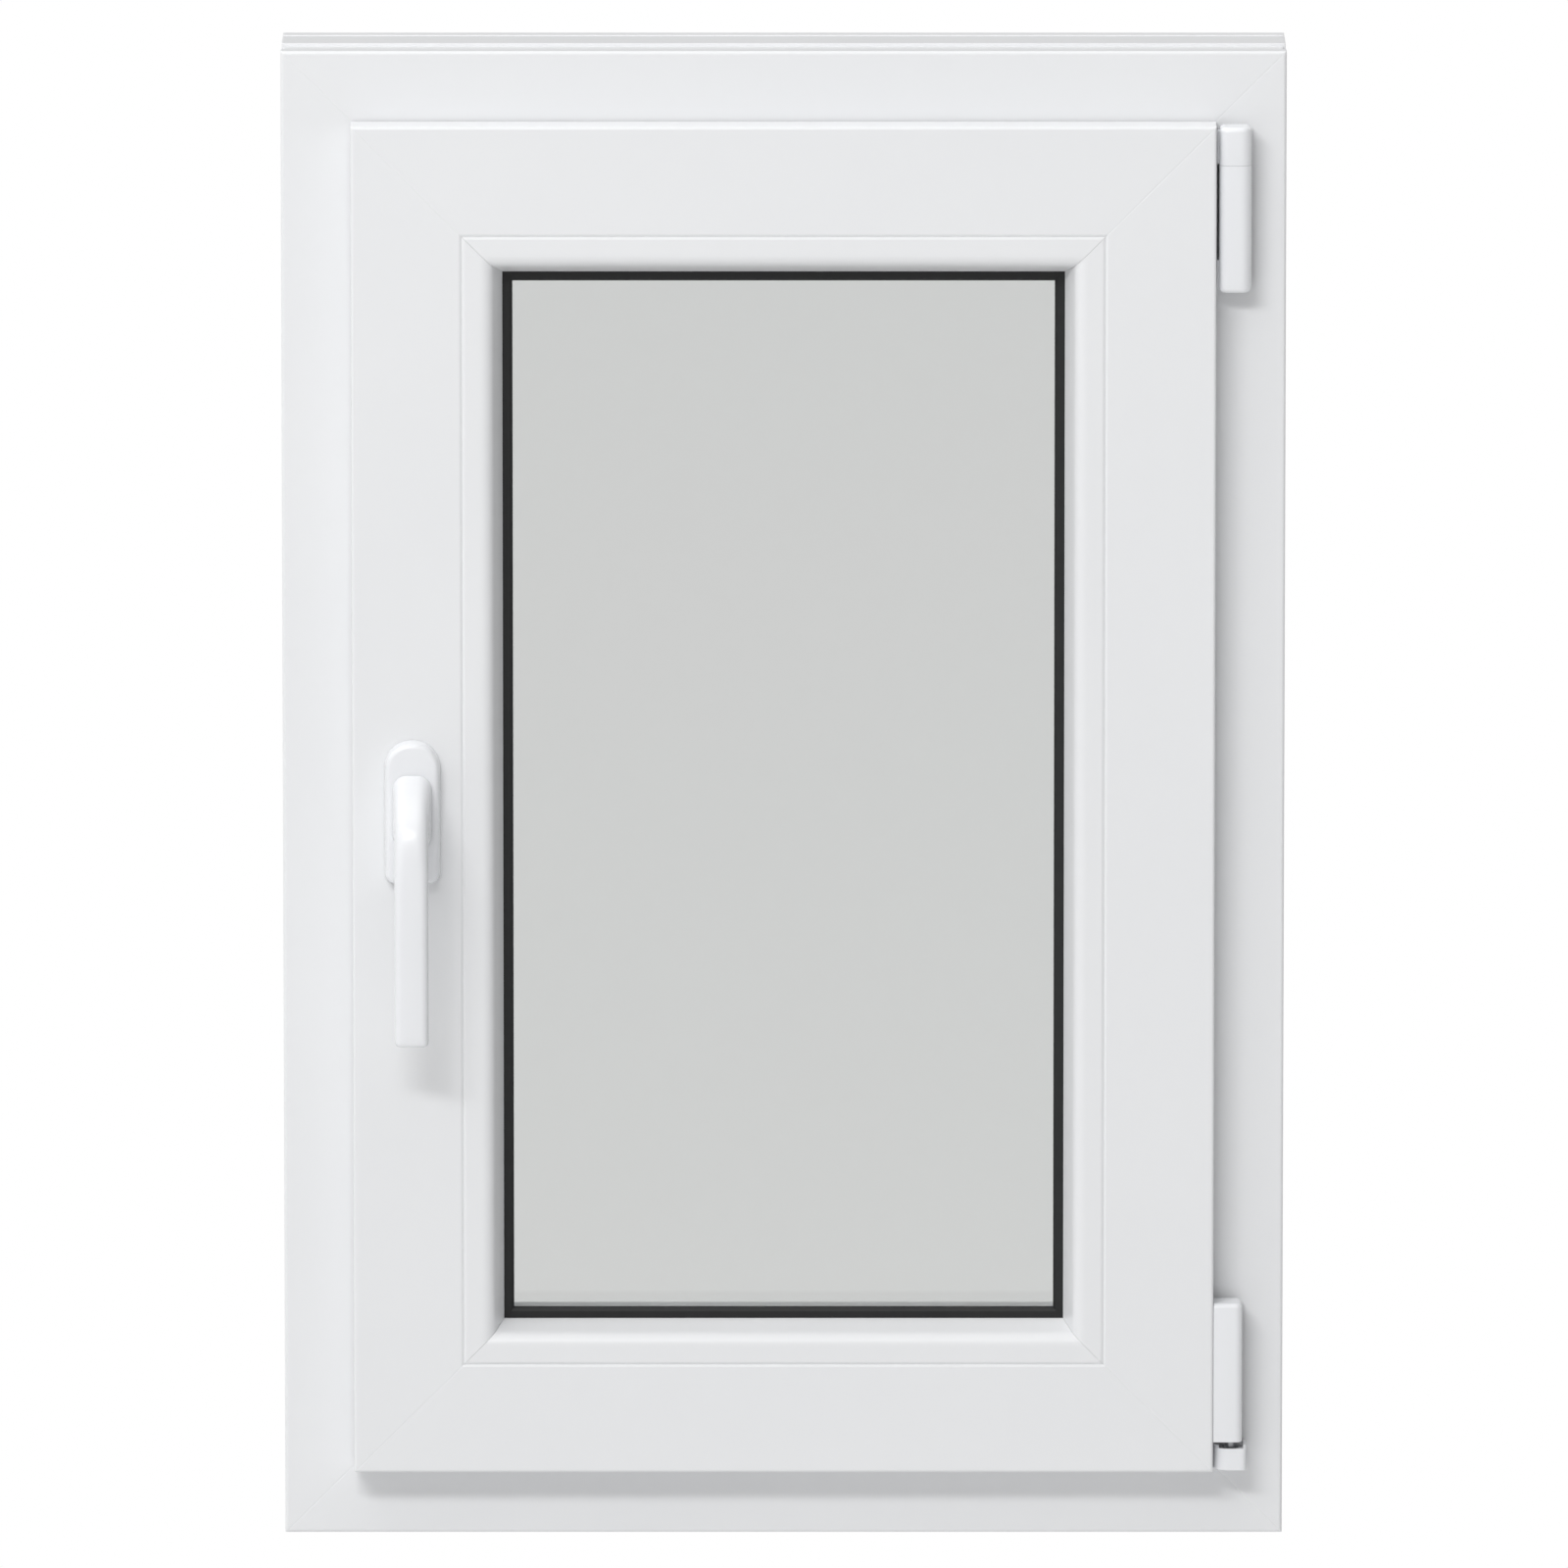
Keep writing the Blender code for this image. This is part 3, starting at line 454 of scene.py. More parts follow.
def softCopy(name, node, width, slotName):
    # the CAD piece with its corners eased
    sharp = sharpOver["fitting"]
    bm = bmesh.new()
    bm.from_mesh(nodes[node].data)
    bmesh.ops.remove_doubles(bm, verts=bm.verts, dist=easing["merge"])
    flat = math.radians(easing["flatUnder"])
    bmesh.ops.dissolve_limit(
        bm, angle_limit=flat, verts=bm.verts, edges=bm.edges, use_dissolve_boundaries=False)
    piece = meshObject(name, bm, slotName, sharp)
    bevel = piece.modifiers.new("ease", "BEVEL")
    bevel.width = width * mm
    bevel.segments = easing["segments"]
    bevel.limit_method = "ANGLE"
    bevel.angle_limit = math.radians(easing["cornersOver"])
    return settle(piece, slotName, sharp)


def arcPoints(centre, radius, start, end, steps):
    points = []
    for k in range(steps + 1):
        angle = math.radians(start + (end - start) * k / steps)
        points.append((centre[0] + radius * math.cos(angle), centre[1] + radius * math.sin(angle)))
    return points


# outer frame

def rectOf(left, right, low, high):
    return (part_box(left)[0].x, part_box(right)[1].x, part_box(low)[0].z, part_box(high)[1].z)


frameRect = rectOf("frame_jamb_left", "frame_jamb_right", "frame_sill", "frame_head")
sashRect = rectOf("sash_stile_left", "sash_stile_right", "sash_rail_bottom", "sash_rail_top")

# sections are lists of (inwards from the outer edge, depth, corner radius), in mm
frameProfile = {"outerEdge": 1.7, "rebateEdge": 1.2, "stopEdge": 1.0, "land": 0.5, "anchorGroove": 1.4}


def frameOutline():
    edge, inner, stop, land, groove = frameProfile.values()
    return roundedOutline([
        (0, -35, edge), (43, -35, inner), (43, 16.5, 0), (60, 16.5, 0), (60, 19.5, 0), (62.6, 19.5, 0),
        (62.6, 16.5, 0), (67, 16.5, stop), (67, 32.5, 1.5), (63.6, 35, 2.0), (0, 35, stop), (0, 25, land),
        (groove, 25, 0), (groove, 21, 0), (0, 21, land), (0, -6, land), (groove, -6, 0), (groove, -27, 0),
        (0, -27, land)])


# drain slots through the sill: half their length, then (front, back, low, high) of the outer and inner one
drainSlot = {"half": 12.0, "outer": (25.0, 36.0, 14.0, 19.0), "inner": (5.0, 10.0, 36.0, 44.0)}


def drainTools():
    tools = []
    half = drainSlot["half"] * mm
    for side in ("left", "right"):
        low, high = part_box("drain_cover_" + side)
        x = (low.x + high.x) / 2
        for place in ("outer", "inner"):
            front, back, bottom, top = (value * mm for value in drainSlot[place])
            tools.append(toolBox((x - half, front, bottom), (x + half, back, top)))
    return tools


def makeFrame():
    ring = weldedRing("frameProfile", frameRect, frameOutline(), "white_profile")
    carve(ring, drainTools(), "white_profile", sharpOver["section"])
    members = ("frame_sill", "frame_head", "frame_jamb_left", "frame_jamb_right")
    return finishPiece(ring, "frame", "white_profile", *members)


sealSteps = 4    # steps in each rounded corner of a soft section


def sealRing(name, rect, section, body, slotName, node, tools=()):
    ring = plainRing(name, rect, roundedOutline(section, sealSteps), slotName)
    if tools:
        carve(ring, tools, slotName)
    return finishPiece(ring, body, slotName, node)


stopSection = [
    (60.4, 19.2, 0.2), (60.4, 16.2, 0), (58.4, 16.3, 0.3), (59.4, 14.6, 0.8), (61.4, 13.5, 0.7),
    (64.2, 13.5, 0.5), (65.0, 16.2, 0.3), (62.2, 16.2, 0), (62.2, 19.2, 0.2)]
coverEase = 0.5

makeFrame()
sealRing("stopGasket", frameRect, stopSection, "frame", "black_gasket", "frame_gasket")
for side in ("left", "right"):
    cover = softCopy("drainCover_" + side, "drain_cover_" + side, coverEase, "white_profile")
    finishPiece(cover, "frame", "white_profile", "drain_cover_" + side)
print("outer frame made")


# sash

sashProfile = {"outerEdge": 1.5, "backEdge": 0.5, "beadLine": 0.8}


def sashOutline():
    edge, back, line = sashProfile.values()
    return roundedOutline([
        (0, -57, edge), (53.9, -57, line), (55, -56.3, 0), (55, -50.5, 0), (52.7, -50.5, 0), (52.7, -47.5, 0),
        (55, -47.5, 0), (55, -6.5, 0), (68, -6.5, 0), (68, -3.5, 0), (70.6, -3.5, 0), (70.6, -6.5, 0),
        (75, -6.5, 0.6), (75, 9, 1.5), (71, 13, 1.5), (20, 13, 1.2), (20, -19, 0.4), (31, -19, 0),
        (31, -31, 0), (20, -31, 0.4), (20, -39, 0), (6.4, -39, 0), (6.4, -41.2, 0), (3, -41.2, 0),
        (3, -39, 0), (1.5, -39, 0), (1.3, -36.3, 0.4), (0, -36.3, back)])


# gaps in the overlap's lip and seal on the hinge side, where the corner hinge and the stay arm pass
notch = {
    "left": 204.0, "right": 216.5, "front": -38.6, "back": -35.0, "hingePlay": 2.0, "armPlay": 4.5,
    "armLow": 700.0, "armHigh": 701.5}


def edgeNotches():
    low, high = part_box("corner_hinge")
    heights = (
        (low.z - notch["hingePlay"] * mm, high.z + notch["hingePlay"] * mm),
        ((notch["armLow"] - notch["armPlay"]) * mm, (notch["armHigh"] + notch["armPlay"]) * mm))
    left, right, front, back = (notch[key] * mm for key in ("left", "right", "front", "back"))
    return [toolBox((left, front, bottom), (right, back, top)) for bottom, top in heights]


handleLow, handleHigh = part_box("spindle")
handleX = (handleLow.x + handleHigh.x) / 2
handleZ = (handleLow.z + handleHigh.z) / 2
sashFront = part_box("sash_rail_top")[0].y

# the pocket for the gear case, and the holes behind the rosette
gearPocket = {
    "floor": 19.0, "ease": 0.4, "ends": 2.0, "back": -17.4, "holeDepth": 14.0, "holeLength": 30.0,
    "spindleHole": 6.0, "screwHole": 3.2, "screwSides": 20}


def gearTools():
    size = {key: value * mm for key, value in gearPocket.items()}
    caseLow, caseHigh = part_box("gear_case")
    screwLow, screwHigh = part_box("rosette_screw_upper")
    screwSpread = (screwHigh.z + screwLow.z) / 2 - handleZ
    holeY = sashFront + size["holeDepth"]
    tools = [
        toolBox(
            (sashRect[0] + size["floor"], caseLow.y - size["ease"], caseLow.z - size["ends"]),
            (caseHigh.x + size["ease"], size["back"], caseHigh.z + size["ends"])),
        toolRod((handleX, holeY, handleZ), "Y", size["spindleHole"], size["holeLength"])]
    for way in (-1, 1):
        place = (handleX, holeY, handleZ + way * screwSpread)
        tools.append(toolRod(place, "Y", size["screwHole"], size["holeLength"], gearPocket["screwSides"]))
    return tools


def makeSash():
    ring = weldedRing("sashProfile", sashRect, sashOutline(), "white_profile")
    carve(ring, gearTools() + edgeNotches(), "white_profile", sharpOver["section"])
    members = ("sash_rail_bottom", "sash_rail_top", "sash_stile_left", "sash_stile_right")
    return finishPiece(ring, "sash", "white_profile", *members)


beadShape = {"crownEnd": 69.2, "crown": 7.0, "toe": 1.6, "mitreGap": 0.07}


def makeBeads():
    section = roundedOutline([
        (55.03, -56.3, 0), (56.3, -57, 0.8), (beadShape["crownEnd"], -57, beadShape["crown"]),
        (75.0, -38.4, beadShape["toe"]), (75.0, -37.3, 0), (55.3, -37.3, 0), (55.3, -47.8, 0),
        (53.1, -47.8, 0), (53.1, -50.2, 0), (55.03, -50.2, 0)], 8)
    for corner, side in enumerate(("bottom", "right", "top", "left")):
        bead = mitredLength(
            "glazingBead_" + side, sashRect, corner, section, "white_profile", beadShape["mitreGap"])
        finishPiece(bead, "sash", "white_profile", "bead_" + side)


innerSection = [
    (66, -37, 0), (75.2, -37, 0.5), (78.4, -36.6, 1.0), (80, -35.4, 0.6), (80, -34.25, 0.2), (66, -34.3, 0)]
outerSection = [
    (66.5, -9.7, 0), (76, -9.7, 0.5), (75.8, -6.8, 0.5), (70.3, -6.8, 0), (70.3, -3.9, 0.3),
    (68.3, -3.9, 0.3), (68.3, -6.8, 0), (66.5, -6.8, 0)]
overlapSection = [
    (3.4, -40.9, 0.3), (6.0, -40.9, 0.3), (6.0, -38.75, 0), (8.2, -38.75, 0.3), (7.4, -36.9, 0.7),
    (4.8, -35.85, 0.9), (2.2, -36.6, 0.7), (1.4, -38.75, 0.3), (3.4, -38.75, 0)]
paneEase = 0.6

makeSash()
makeBeads()
sealRing("glazingGasketInner", sashRect, innerSection, "sash", "black_gasket", "glazing_gasket_inner")
sealRing("glazingGasketOuter", sashRect, outerSection, "sash", "black_gasket", "glazing_gasket_outer")
sealRing("overlapSeal", sashRect, overlapSection, "sash", "grey_seal", "sash_seal", edgeNotches())
for name, node in (("paneInner", "pane_inner"), ("paneOuter", "pane_outer")):
    finishPiece(softCopy(name, node, paneEase, "clear_glass"), "sash", "clear_glass", node)
print("sash made")


# hinge covers

def boxyRing(left, right, front, back, bend, inset, z, leftBend=0.0006, leftShare=0.1):
    # plan of a hinge cover: rounded towards the room, square at the back
    left, right, front = left + inset * leftShare, right - inset, front + inset
    bend = max(bend - inset, 0.0006)
    leftBend = max(leftBend - inset * leftShare, 0.0004)
    points = arcPoints((left + leftBend, front + leftBend), leftBend, 180, 270, 8)
    points += arcPoints((right - bend, front + bend), bend, 270, 360, 10)
    points += [(right, back), (left, back)]
    return [(x, y, z) for x, y in points]


def domed(make, low, high, lowRound, highRound, steps=6):
    # rings up a cover, drawn in at each end along a quarter circle; make(inset, z) gives one ring
    rings = []
    for k in range(steps + 1):
        angle = math.pi / 2 * k / steps
        rings.append(make(lowRound * (1 - math.sin(angle)), low + lowRound * (1 - math.cos(angle))))
    for k in range(steps + 1):
        angle = math.pi / 2 * k / steps
        rings.append(make(highRound * (1 - math.cos(angle)), high - highRound * (1 - math.sin(angle))))
    return rings


barrelShape = {
    "bottomRound": 2.6, "topRound": 2.6, "jointRound": 0.2, "jointGap": 0.1, "wall": 1.2, "roomBack": 4.0,
    "roomTop": 3.0, "leftReach": 1.6, "leftBend": 4.6, "rightBend": 5.4}


def barrelRing(low, high, inset, z):
    # reaches towards the sash, its corner inside the circle that the sash's edge turns through
    left = low.x - barrelShape["leftReach"] * mm
    leftBend, rightBend = barrelShape["leftBend"] * mm, barrelShape["rightBend"] * mm
    return boxyRing(left, high.x, low.y, high.y, rightBend, inset, z, leftBend, 1.0)


finShape = {
    "front": -48.5, "back": -46.3, "gap": 0.4, "overlap": 2.0, "capLow": 0.4, "capHigh": 1.8,
    "coverLow": 1.5, "coverHigh": 0.2}


def hingeFin(lowZ, highZ):
    # a thin wall towards the sash, inside the same circle
    left = sashRect[1] + finShape["gap"] * mm
    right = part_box("stay_cap")[0].x + finShape["overlap"] * mm
    return toolBox((left, finShape["front"] * mm, lowZ), (right, finShape["back"] * mm, highZ))


def makeTopCover():
    low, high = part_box("top_bearing_cover")
    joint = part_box("stay_cap")[0].z - barrelShape["jointGap"] * mm
    rings = domed(
        lambda inset, z: barrelRing(low, high, inset, z), low.z, joint,
        barrelShape["bottomRound"] * mm, barrelShape["jointRound"] * mm)
    cover = loft("topHingeCover", rings, "white_cover")
    wall = barrelShape["wall"] * mm
    inner = (low + Vector((wall, wall, 0)), high + Vector((-wall, barrelShape["roomBack"] * mm, 0)))
    roomEnds = (low.z + 2 * wall, high.z + barrelShape["roomTop"] * mm)
    room = loft("tool", [barrelRing(*inner, 0, z) for z in roomEnds], "white_cover")
    carve(cover, [room], "white_cover", sharpOver["cover"])
    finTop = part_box("top_bearing")[0].z + finShape["coverHigh"] * mm
    fin = hingeFin(low.z + finShape["coverLow"] * mm, finTop)
    carve(cover, [fin], "white_cover", sharpOver["cover"], "UNION")
    return finishPiece(cover, "frame", "white_cover", "top_bearing_cover")


# the cap turns over the arm's eye, and is open at the back where the arm comes out
capRoom = {
    "rise": 7.0, "radius": 6.0, "length": 18.0, "left": 213.0, "right": 224.2, "front": -44.0, "back": -33.0,
    "low": 694.0, "high": 706.0}


def makeStayCap():
    low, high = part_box("stay_cap")
    size = {key: value * mm for key, value in capRoom.items()}
    ends = (barrelShape["jointRound"] * mm, barrelShape["topRound"] * mm)
    rings = domed(lambda inset, z: barrelRing(low, high, inset, z), low.z, high.z, *ends, 7)
    cap = loft("stayCap", rings, "white_cover")
    centre = ((low.x + high.x) / 2, (low.y + high.y) / 2, low.z + size["rise"])
    tools = [
        toolRod(centre, "Z", size["radius"], size["length"]),
        toolBox((size["left"], size["front"], size["low"]), (size["right"], size["back"], size["high"]))]
    carve(cap, tools, "white_cover", sharpOver["cover"])
    fin = hingeFin(low.z + finShape["capLow"] * mm, high.z - finShape["capHigh"] * mm)
    carve(cap, [fin], "white_cover", sharpOver["cover"], "UNION")
    return finishPiece(cap, "stay", "white_cover", "stay_cap")


cornerShape = {
    "sashGap": 0.1, "forward": 2.6, "bend": 3.6, "bottomRound": 0.5, "topRound": 2.6, "wall": 1.2,
    "roomBend": 3.5, "roomBack": 8.0, "roomLow": 3.0}


def makeCornerCover():
    low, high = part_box("corner_hinge_cover")
    size = {key: value * mm for key, value in cornerShape.items()}
    left, front = sashRect[1] + size["sashGap"], low.y - size["forward"]
    rings = domed(
        lambda inset, z: boxyRing(left, high.x, front, high.y, size["bend"], inset, z), low.z, high.z,
        size["bottomRound"], size["topRound"])
    cover = loft("cornerHingeCover", rings, "white_cover")
    wall = size["wall"]
    room = loft("tool", [
        boxyRing(low.x + wall, high.x - wall, low.y + wall, high.y + size["roomBack"], size["roomBend"], 0, z)
        for z in (low.z - size["roomLow"], high.z - wall * 2)], "white_cover")
    carve(cover, [room], "white_cover", sharpOver["cover"])
    return finishPiece(cover, "sash", "white_cover", "corner_hinge_cover")


bracketShape = {
    "leftHalf": 8.8, "rightBend": 2.4, "bottomRound": 0.6, "topRound": 0.4, "earRise": 1.6, "earWide": 1.5,
    "earLeft": 7.4, "cutOver": 2.0, "bushRadius": 5.9, "bushLength": 17.0}


def bracketRing(axisX, axisY, right, front, back, inset, z):
    # an ellipse on the sash side, which the turning sash passes, and square on the other
    halfX, halfY = bracketShape["leftHalf"] * mm - inset, axisY - front - inset
    points = []
    for k in range(13):
        angle = math.pi + math.pi / 2 * k / 12
        points.append((axisX + halfX * math.cos(angle), axisY + halfY * math.sin(angle)))
    bend = max(bracketShape["rightBend"] * mm - inset, 0.0005)
    points += arcPoints((right - inset - bend, front + inset + bend), bend, 270, 360, 8)
    points += [(right - inset, back), (axisX - halfX, back)]
    return [(x, y, z) for x, y in points]


def makeCornerBracket():
    low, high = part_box("corner_bracket")
    size = {key: value * mm for key, value in bracketShape.items()}
    pinLow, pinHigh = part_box("corner_hinge_pin")
    pinX, pinY = (pinLow.x + pinHigh.x) / 2, (pinLow.y + pinHigh.y) / 2
    top = high.z + size["earRise"]
    rings = domed(
        lambda inset, z: bracketRing(pinX, pinY, high.x, low.y, high.y, inset, z), low.z, top,
        size["bottomRound"], size["topRound"])
    bracket = loft("cornerBracket", rings, "white_cover")
    left, right, over = pinX - size["earLeft"] + size["earWide"], high.x - size["earWide"], size["cutOver"]
    bush = toolRod((pinX, pinY, high.z), "Z", size["bushRadius"], size["bushLength"])
    between = toolBox((left, low.y - over, high.z), (right, high.y + over, top + over))
    carve(bracket, [bush, between], "white_cover", sharpOver["cover"])
    return finishPiece(bracket, "frame", "white_cover", "corner_bracket")


makeTopCover()
makeStayCap()
makeCornerCover()
makeCornerBracket()
print("hinge covers made")


# handle

rosetteShape = {
    "wide": 28.0, "tall": 72.0, "deep": 9.0, "lowCorner": 5.0, "highCorner": 13.5, "smallest": 1.0,
    "edge": 2.4, "edgeSteps": 8, "draft": 0.8, "foot": 0.3, "guard": 0.8, "rim": 0.4, "side": 1.7,
    "front": 1.6, "neckRadius": 9.0, "neckLength": 8.0, "round": 64}


def rosetteLevel(inset, depth):
    wide, tall = rosetteShape["wide"] / 2 - inset, rosetteShape["tall"] / 2 - inset
    lowBend = max(rosetteShape["lowCorner"] - inset, rosetteShape["smallest"])
    highBend = max(rosetteShape["highCorner"] - inset, rosetteShape["smallest"])
    corners = ((1, -1, lowBend, 270), (1, 1, highBend, 0), (-1, 1, highBend, 90), (-1, -1, lowBend, 180))
    points = []
    for sideX, sideZ, bend, start in corners:
        points += arcPoints((sideX * (wide - bend), sideZ * (tall - bend)), bend, start, start + 90, 10)
    return [(handleX + x * mm, sashFront - depth * mm, handleZ + z * mm) for x, z in points]


def makeRosette():
    shape = rosetteShape
    deep, edge, draft, steps = shape["deep"], shape["edge"], shape["draft"], shape["edgeSteps"]
    rings = [
        rosetteLevel(0, shape["foot"]), rosetteLevel(draft * 0.04, shape["guard"]),
        rosetteLevel(draft, deep - edge)]
    for k in range(1, steps + 1):
        angle = math.pi / 2 * k / steps
        rings.append(rosetteLevel(draft + edge * (1 - math.cos(angle)), deep - edge * (1 - math.sin(angle))))
    rings.append(rosetteLevel(draft + edge + shape["rim"], deep))
    cap = loft("rosetteCap", rings, "white_cover")
    roomEnds = (-1, deep - shape["front"])
    room = loft("tool", [rosetteLevel(shape["side"], depth) for depth in roomEnds], "white_cover")
    radius, length = shape["neckRadius"] * mm, shape["neckLength"] * mm
    hole = toolRod((handleX, sashFront - length, handleZ), "Y", radius, length, shape["round"])
    carve(cap, [room, hole], "white_cover", sharpOver["rosette"])
    return finishPiece(cap, "sash", "white_cover", "rosette_cap")


# stations: out from the sash, rise from the axis, heading (0 out, 90 down), width, thickness
leverStations = [
    (9.4, 1.0, 0, 19.5, 37.0), (14.0, 1.0, 0, 18.8, 34.5), (21.5, 0.6, 8, 18.0, 30.0),
    (29.5, -1.2, 28, 17.4, 25.5), (36.5, -5.5, 52, 17.0, 20.5), (41.5, -13.0, 73, 16.8, 15.8),
    (43.6, -24.0, 86, 16.8, 12.8),
    (43.8, -40.0, 91, 16.8, 11.6), (43.0, -62.0, 92.5, 16.8, 11.0), (41.2, -90.0, 94, 16.8, 10.6),
    (39.7, -111.8, 94, 16.8, 10.2)]
leverShape = {
    "between": 6, "corner": 0.36, "tipRound": 2.2, "tipSteps": 6, "neckAway": 7.4, "neckRadius": 8.4,
    "neckLength": 7.0, "round": 64, "socketEase": 0.3, "socketDeep": 15.0}


def curveValue(p, q, r, s, t):
    # Catmull-Rom between q and r
    square, cube = 2 * p - 5 * q + 4 * r - s, 3 * q - p - 3 * r + s
    return 0.5 * (2 * q + (r - p) * t + square * t * t + cube * t ** 3)


def throughStations(stations, between):
    padded = [stations[0]] + list(stations) + [stations[-1]]
    smoothed = []
    for i in range(1, len(padded) - 2):
        for k in range(between):
            smoothed.append(tuple(curveValue(*values, k / between) for values in zip(*padded[i - 1:i + 3])))
    smoothed.append(tuple(stations[-1]))
    return smoothed


def leverRing(out, rise, heading, width, thick):
    turn = math.radians(heading)
    corner = min(width, thick) * leverShape["corner"]
    ring = []
    for sideX, sideT, start in ((1, -1, 270), (1, 1, 0), (-1, 1, 90), (-1, -1, 180)):
        centre = (sideX * (width / 2 - corner), sideT * (thick / 2 - corner))
        for x, t in arcPoints(centre, corner, start, start + 90, 8):
            ring.append((
                handleX + x * mm, sashFront - (out + t * math.sin(turn)) * mm,
                handleZ + (rise + t * math.cos(turn)) * mm))
    return ring


def makeLever():
    shape = leverShape
    stations = throughStations(leverStations, shape["between"])
    out, rise, heading, width, thick = stations.pop()
    bend = shape["tipRound"]
    turn = math.radians(heading)
    rings = [leverRing(*station) for station in stations]
    for k in range(shape["tipSteps"] + 1):
        angle = math.pi / 2 * k / shape["tipSteps"]
        back, shrink = bend * (1 - math.sin(angle)), 2 * bend * (1 - math.cos(angle))
        tipOut, tipRise = out - back * math.cos(turn), rise + back * math.sin(turn)
        rings.append(leverRing(tipOut, tipRise, heading, width - shrink, thick - shrink))
    lever = loft("leverHandle", rings, "white_cover", sharpOver["lever"])
    neckPlace = (handleX, sashFront - shape["neckAway"] * mm, handleZ)
    neck = toolRod(neckPlace, "Y", shape["neckRadius"] * mm, shape["neckLength"] * mm, shape["round"])
    carve(lever, [neck], "white_cover", sharpOver["lever"], "UNION")
    half = (handleHigh.x - handleLow.x) / 2 + shape["socketEase"] * mm
    deepest = sashFront - shape["socketDeep"] * mm
    socket = toolBox((handleX - half, deepest, handleZ - half), (handleX + half, sashFront, handleZ + half))
    carve(lever, [socket], "white_cover", sharpOver["lever"])
    return finishPiece(lever, "handle", "white_cover", "lever")


makeRosette()
makeLever()
print("handle made")


# metal fittings

def bodyOf(node):
    for body, members in frame["record"]["behaviour"]["bodies"].items():
        if node in members:
            return body
    return None


fittings = {
    "zinc_hardware": (
        "striker_side_lower striker_side_upper striker_top striker_bottom stay_arm corner_hinge stay_guide "
        "side_drive_rail top_drive_rail bottom_drive_rail drive_pinion gear_faceplate corner_drive_top "
        "corner_drive_bottom rosette_base corner_hinge_pin top_bearing_pin pivot_bush"),
    "galvanised_steel": "top_bearing gear_case gear_lid spindle",
    "setting_block": "setting_block_left setting_block_right setting_block_hinge setting_block_lock"}
fittingEase = 0.25
for slotName, names in fittings.items():
    for node in names.split():
        words = node.split("_")
        name = words[0] + "".join(word.capitalize() for word in words[1:])
        piece = softCopy(name, node, fittingEase, slotName)
        finishPiece(piece, bodyOf(node), slotName, node)


# screw heads along the fittings, by Geometry Nodes

def socketId(tree, name):
    return next(item.identifier for item in tree.interface.items_tree if item.name == name)


screwShape = {
    "radius": 2.9, "height": 0.7, "guideHeight": 0.5, "sides": 24, "skirt": 1.18, "crossLong": 1.25,
    "crossThin": 0.30}


def screwRowTree():
    tree = bpy.data.node_groups.new("screwRow", "GeometryNodeTree")
    tree.interface.new_socket("Geometry", in_out="OUTPUT", socket_type="NodeSocketGeometry")
    for name, kind in (
            ("Count", "NodeSocketInt"), ("Start", "NodeSocketVector"), ("Step", "NodeSocketVector"),
            ("Turn", "NodeSocketVector"), ("Radius", "NodeSocketFloat"), ("Height", "NodeSocketFloat"),
            ("Material", "NodeSocketMaterial")):
        tree.interface.new_socket(name, in_out="INPUT", socket_type=kind)

    def node(kind, settings=None, sockets=None):
        made = tree.nodes.new(kind)
        for key, value in (settings or {}).items():
            setattr(made, key, value)
        for key, value in (sockets or {}).items():
            if isinstance(value, bpy.types.NodeSocket):
                tree.links.new(value, made.inputs[key])
            else:
                made.inputs[key].default_value = value
        return made

    given = node("NodeGroupInput")
    head = node("GeometryNodeMeshCone", {}, {
        "Vertices": screwShape["sides"], "Radius Top": given.outputs["Radius"],
        "Depth": given.outputs["Height"]})
    wider = node("ShaderNodeMath", {"operation": "MULTIPLY"}, {
        0: given.outputs["Radius"], 1: screwShape["skirt"]})
    tree.links.new(wider.outputs[0], head.inputs["Radius Bottom"])
    blades = []
    for across in (0, 1):
        long, thin = (
            node("ShaderNodeMath", {"operation": "MULTIPLY"}, {0: given.outputs["Radius"], 1: share})
            for share in (screwShape["crossLong"], screwShape["crossThin"]))
        size = node("ShaderNodeCombineXYZ", {}, {
            across: long.outputs[0], 1 - across: thin.outputs[0], 2: given.outputs["Height"]})
        blade = node("GeometryNodeMeshCube", {}, {"Size": size.outputs[0]})
        lift = node("ShaderNodeCombineXYZ", {}, {"Z": given.outputs["Height"]})
        blades.append(node("GeometryNodeTransform", {}, {
            "Geometry": blade.outputs["Mesh"], "Translation": lift.outputs[0]}))
    recessed = node("GeometryNodeMeshBoolean", {"operation": "DIFFERENCE", "solver": "EXACT"}, {
        "Mesh 1": head.outputs["Mesh"]})
    for blade in blades:
        tree.links.new(blade.outputs["Geometry"], recessed.inputs["Mesh 2"])
    row = node("GeometryNodeMeshLine", {"mode": "OFFSET"}, {
        "Count": given.outputs["Count"], "Start Location": given.outputs["Start"],
        "Offset": given.outputs["Step"]})
    turned = node("FunctionNodeEulerToRotation", {}, {"Euler": given.outputs["Turn"]})
    placed = node("GeometryNodeInstanceOnPoints", {}, {
        "Points": row.outputs["Mesh"], "Instance": recessed.outputs["Mesh"], "Rotation": turned.outputs[0]})
    real = node("GeometryNodeRealizeInstances", {}, {"Geometry": placed.outputs["Instances"]})
    painted = node("GeometryNodeSetMaterial", {}, {
        "Geometry": real.outputs["Geometry"], "Material": given.outputs["Material"]})
    out = node("NodeGroupOutput")
    tree.links.new(painted.outputs["Geometry"], out.inputs["Geometry"])
    return tree


screwTree = screwRowTree()


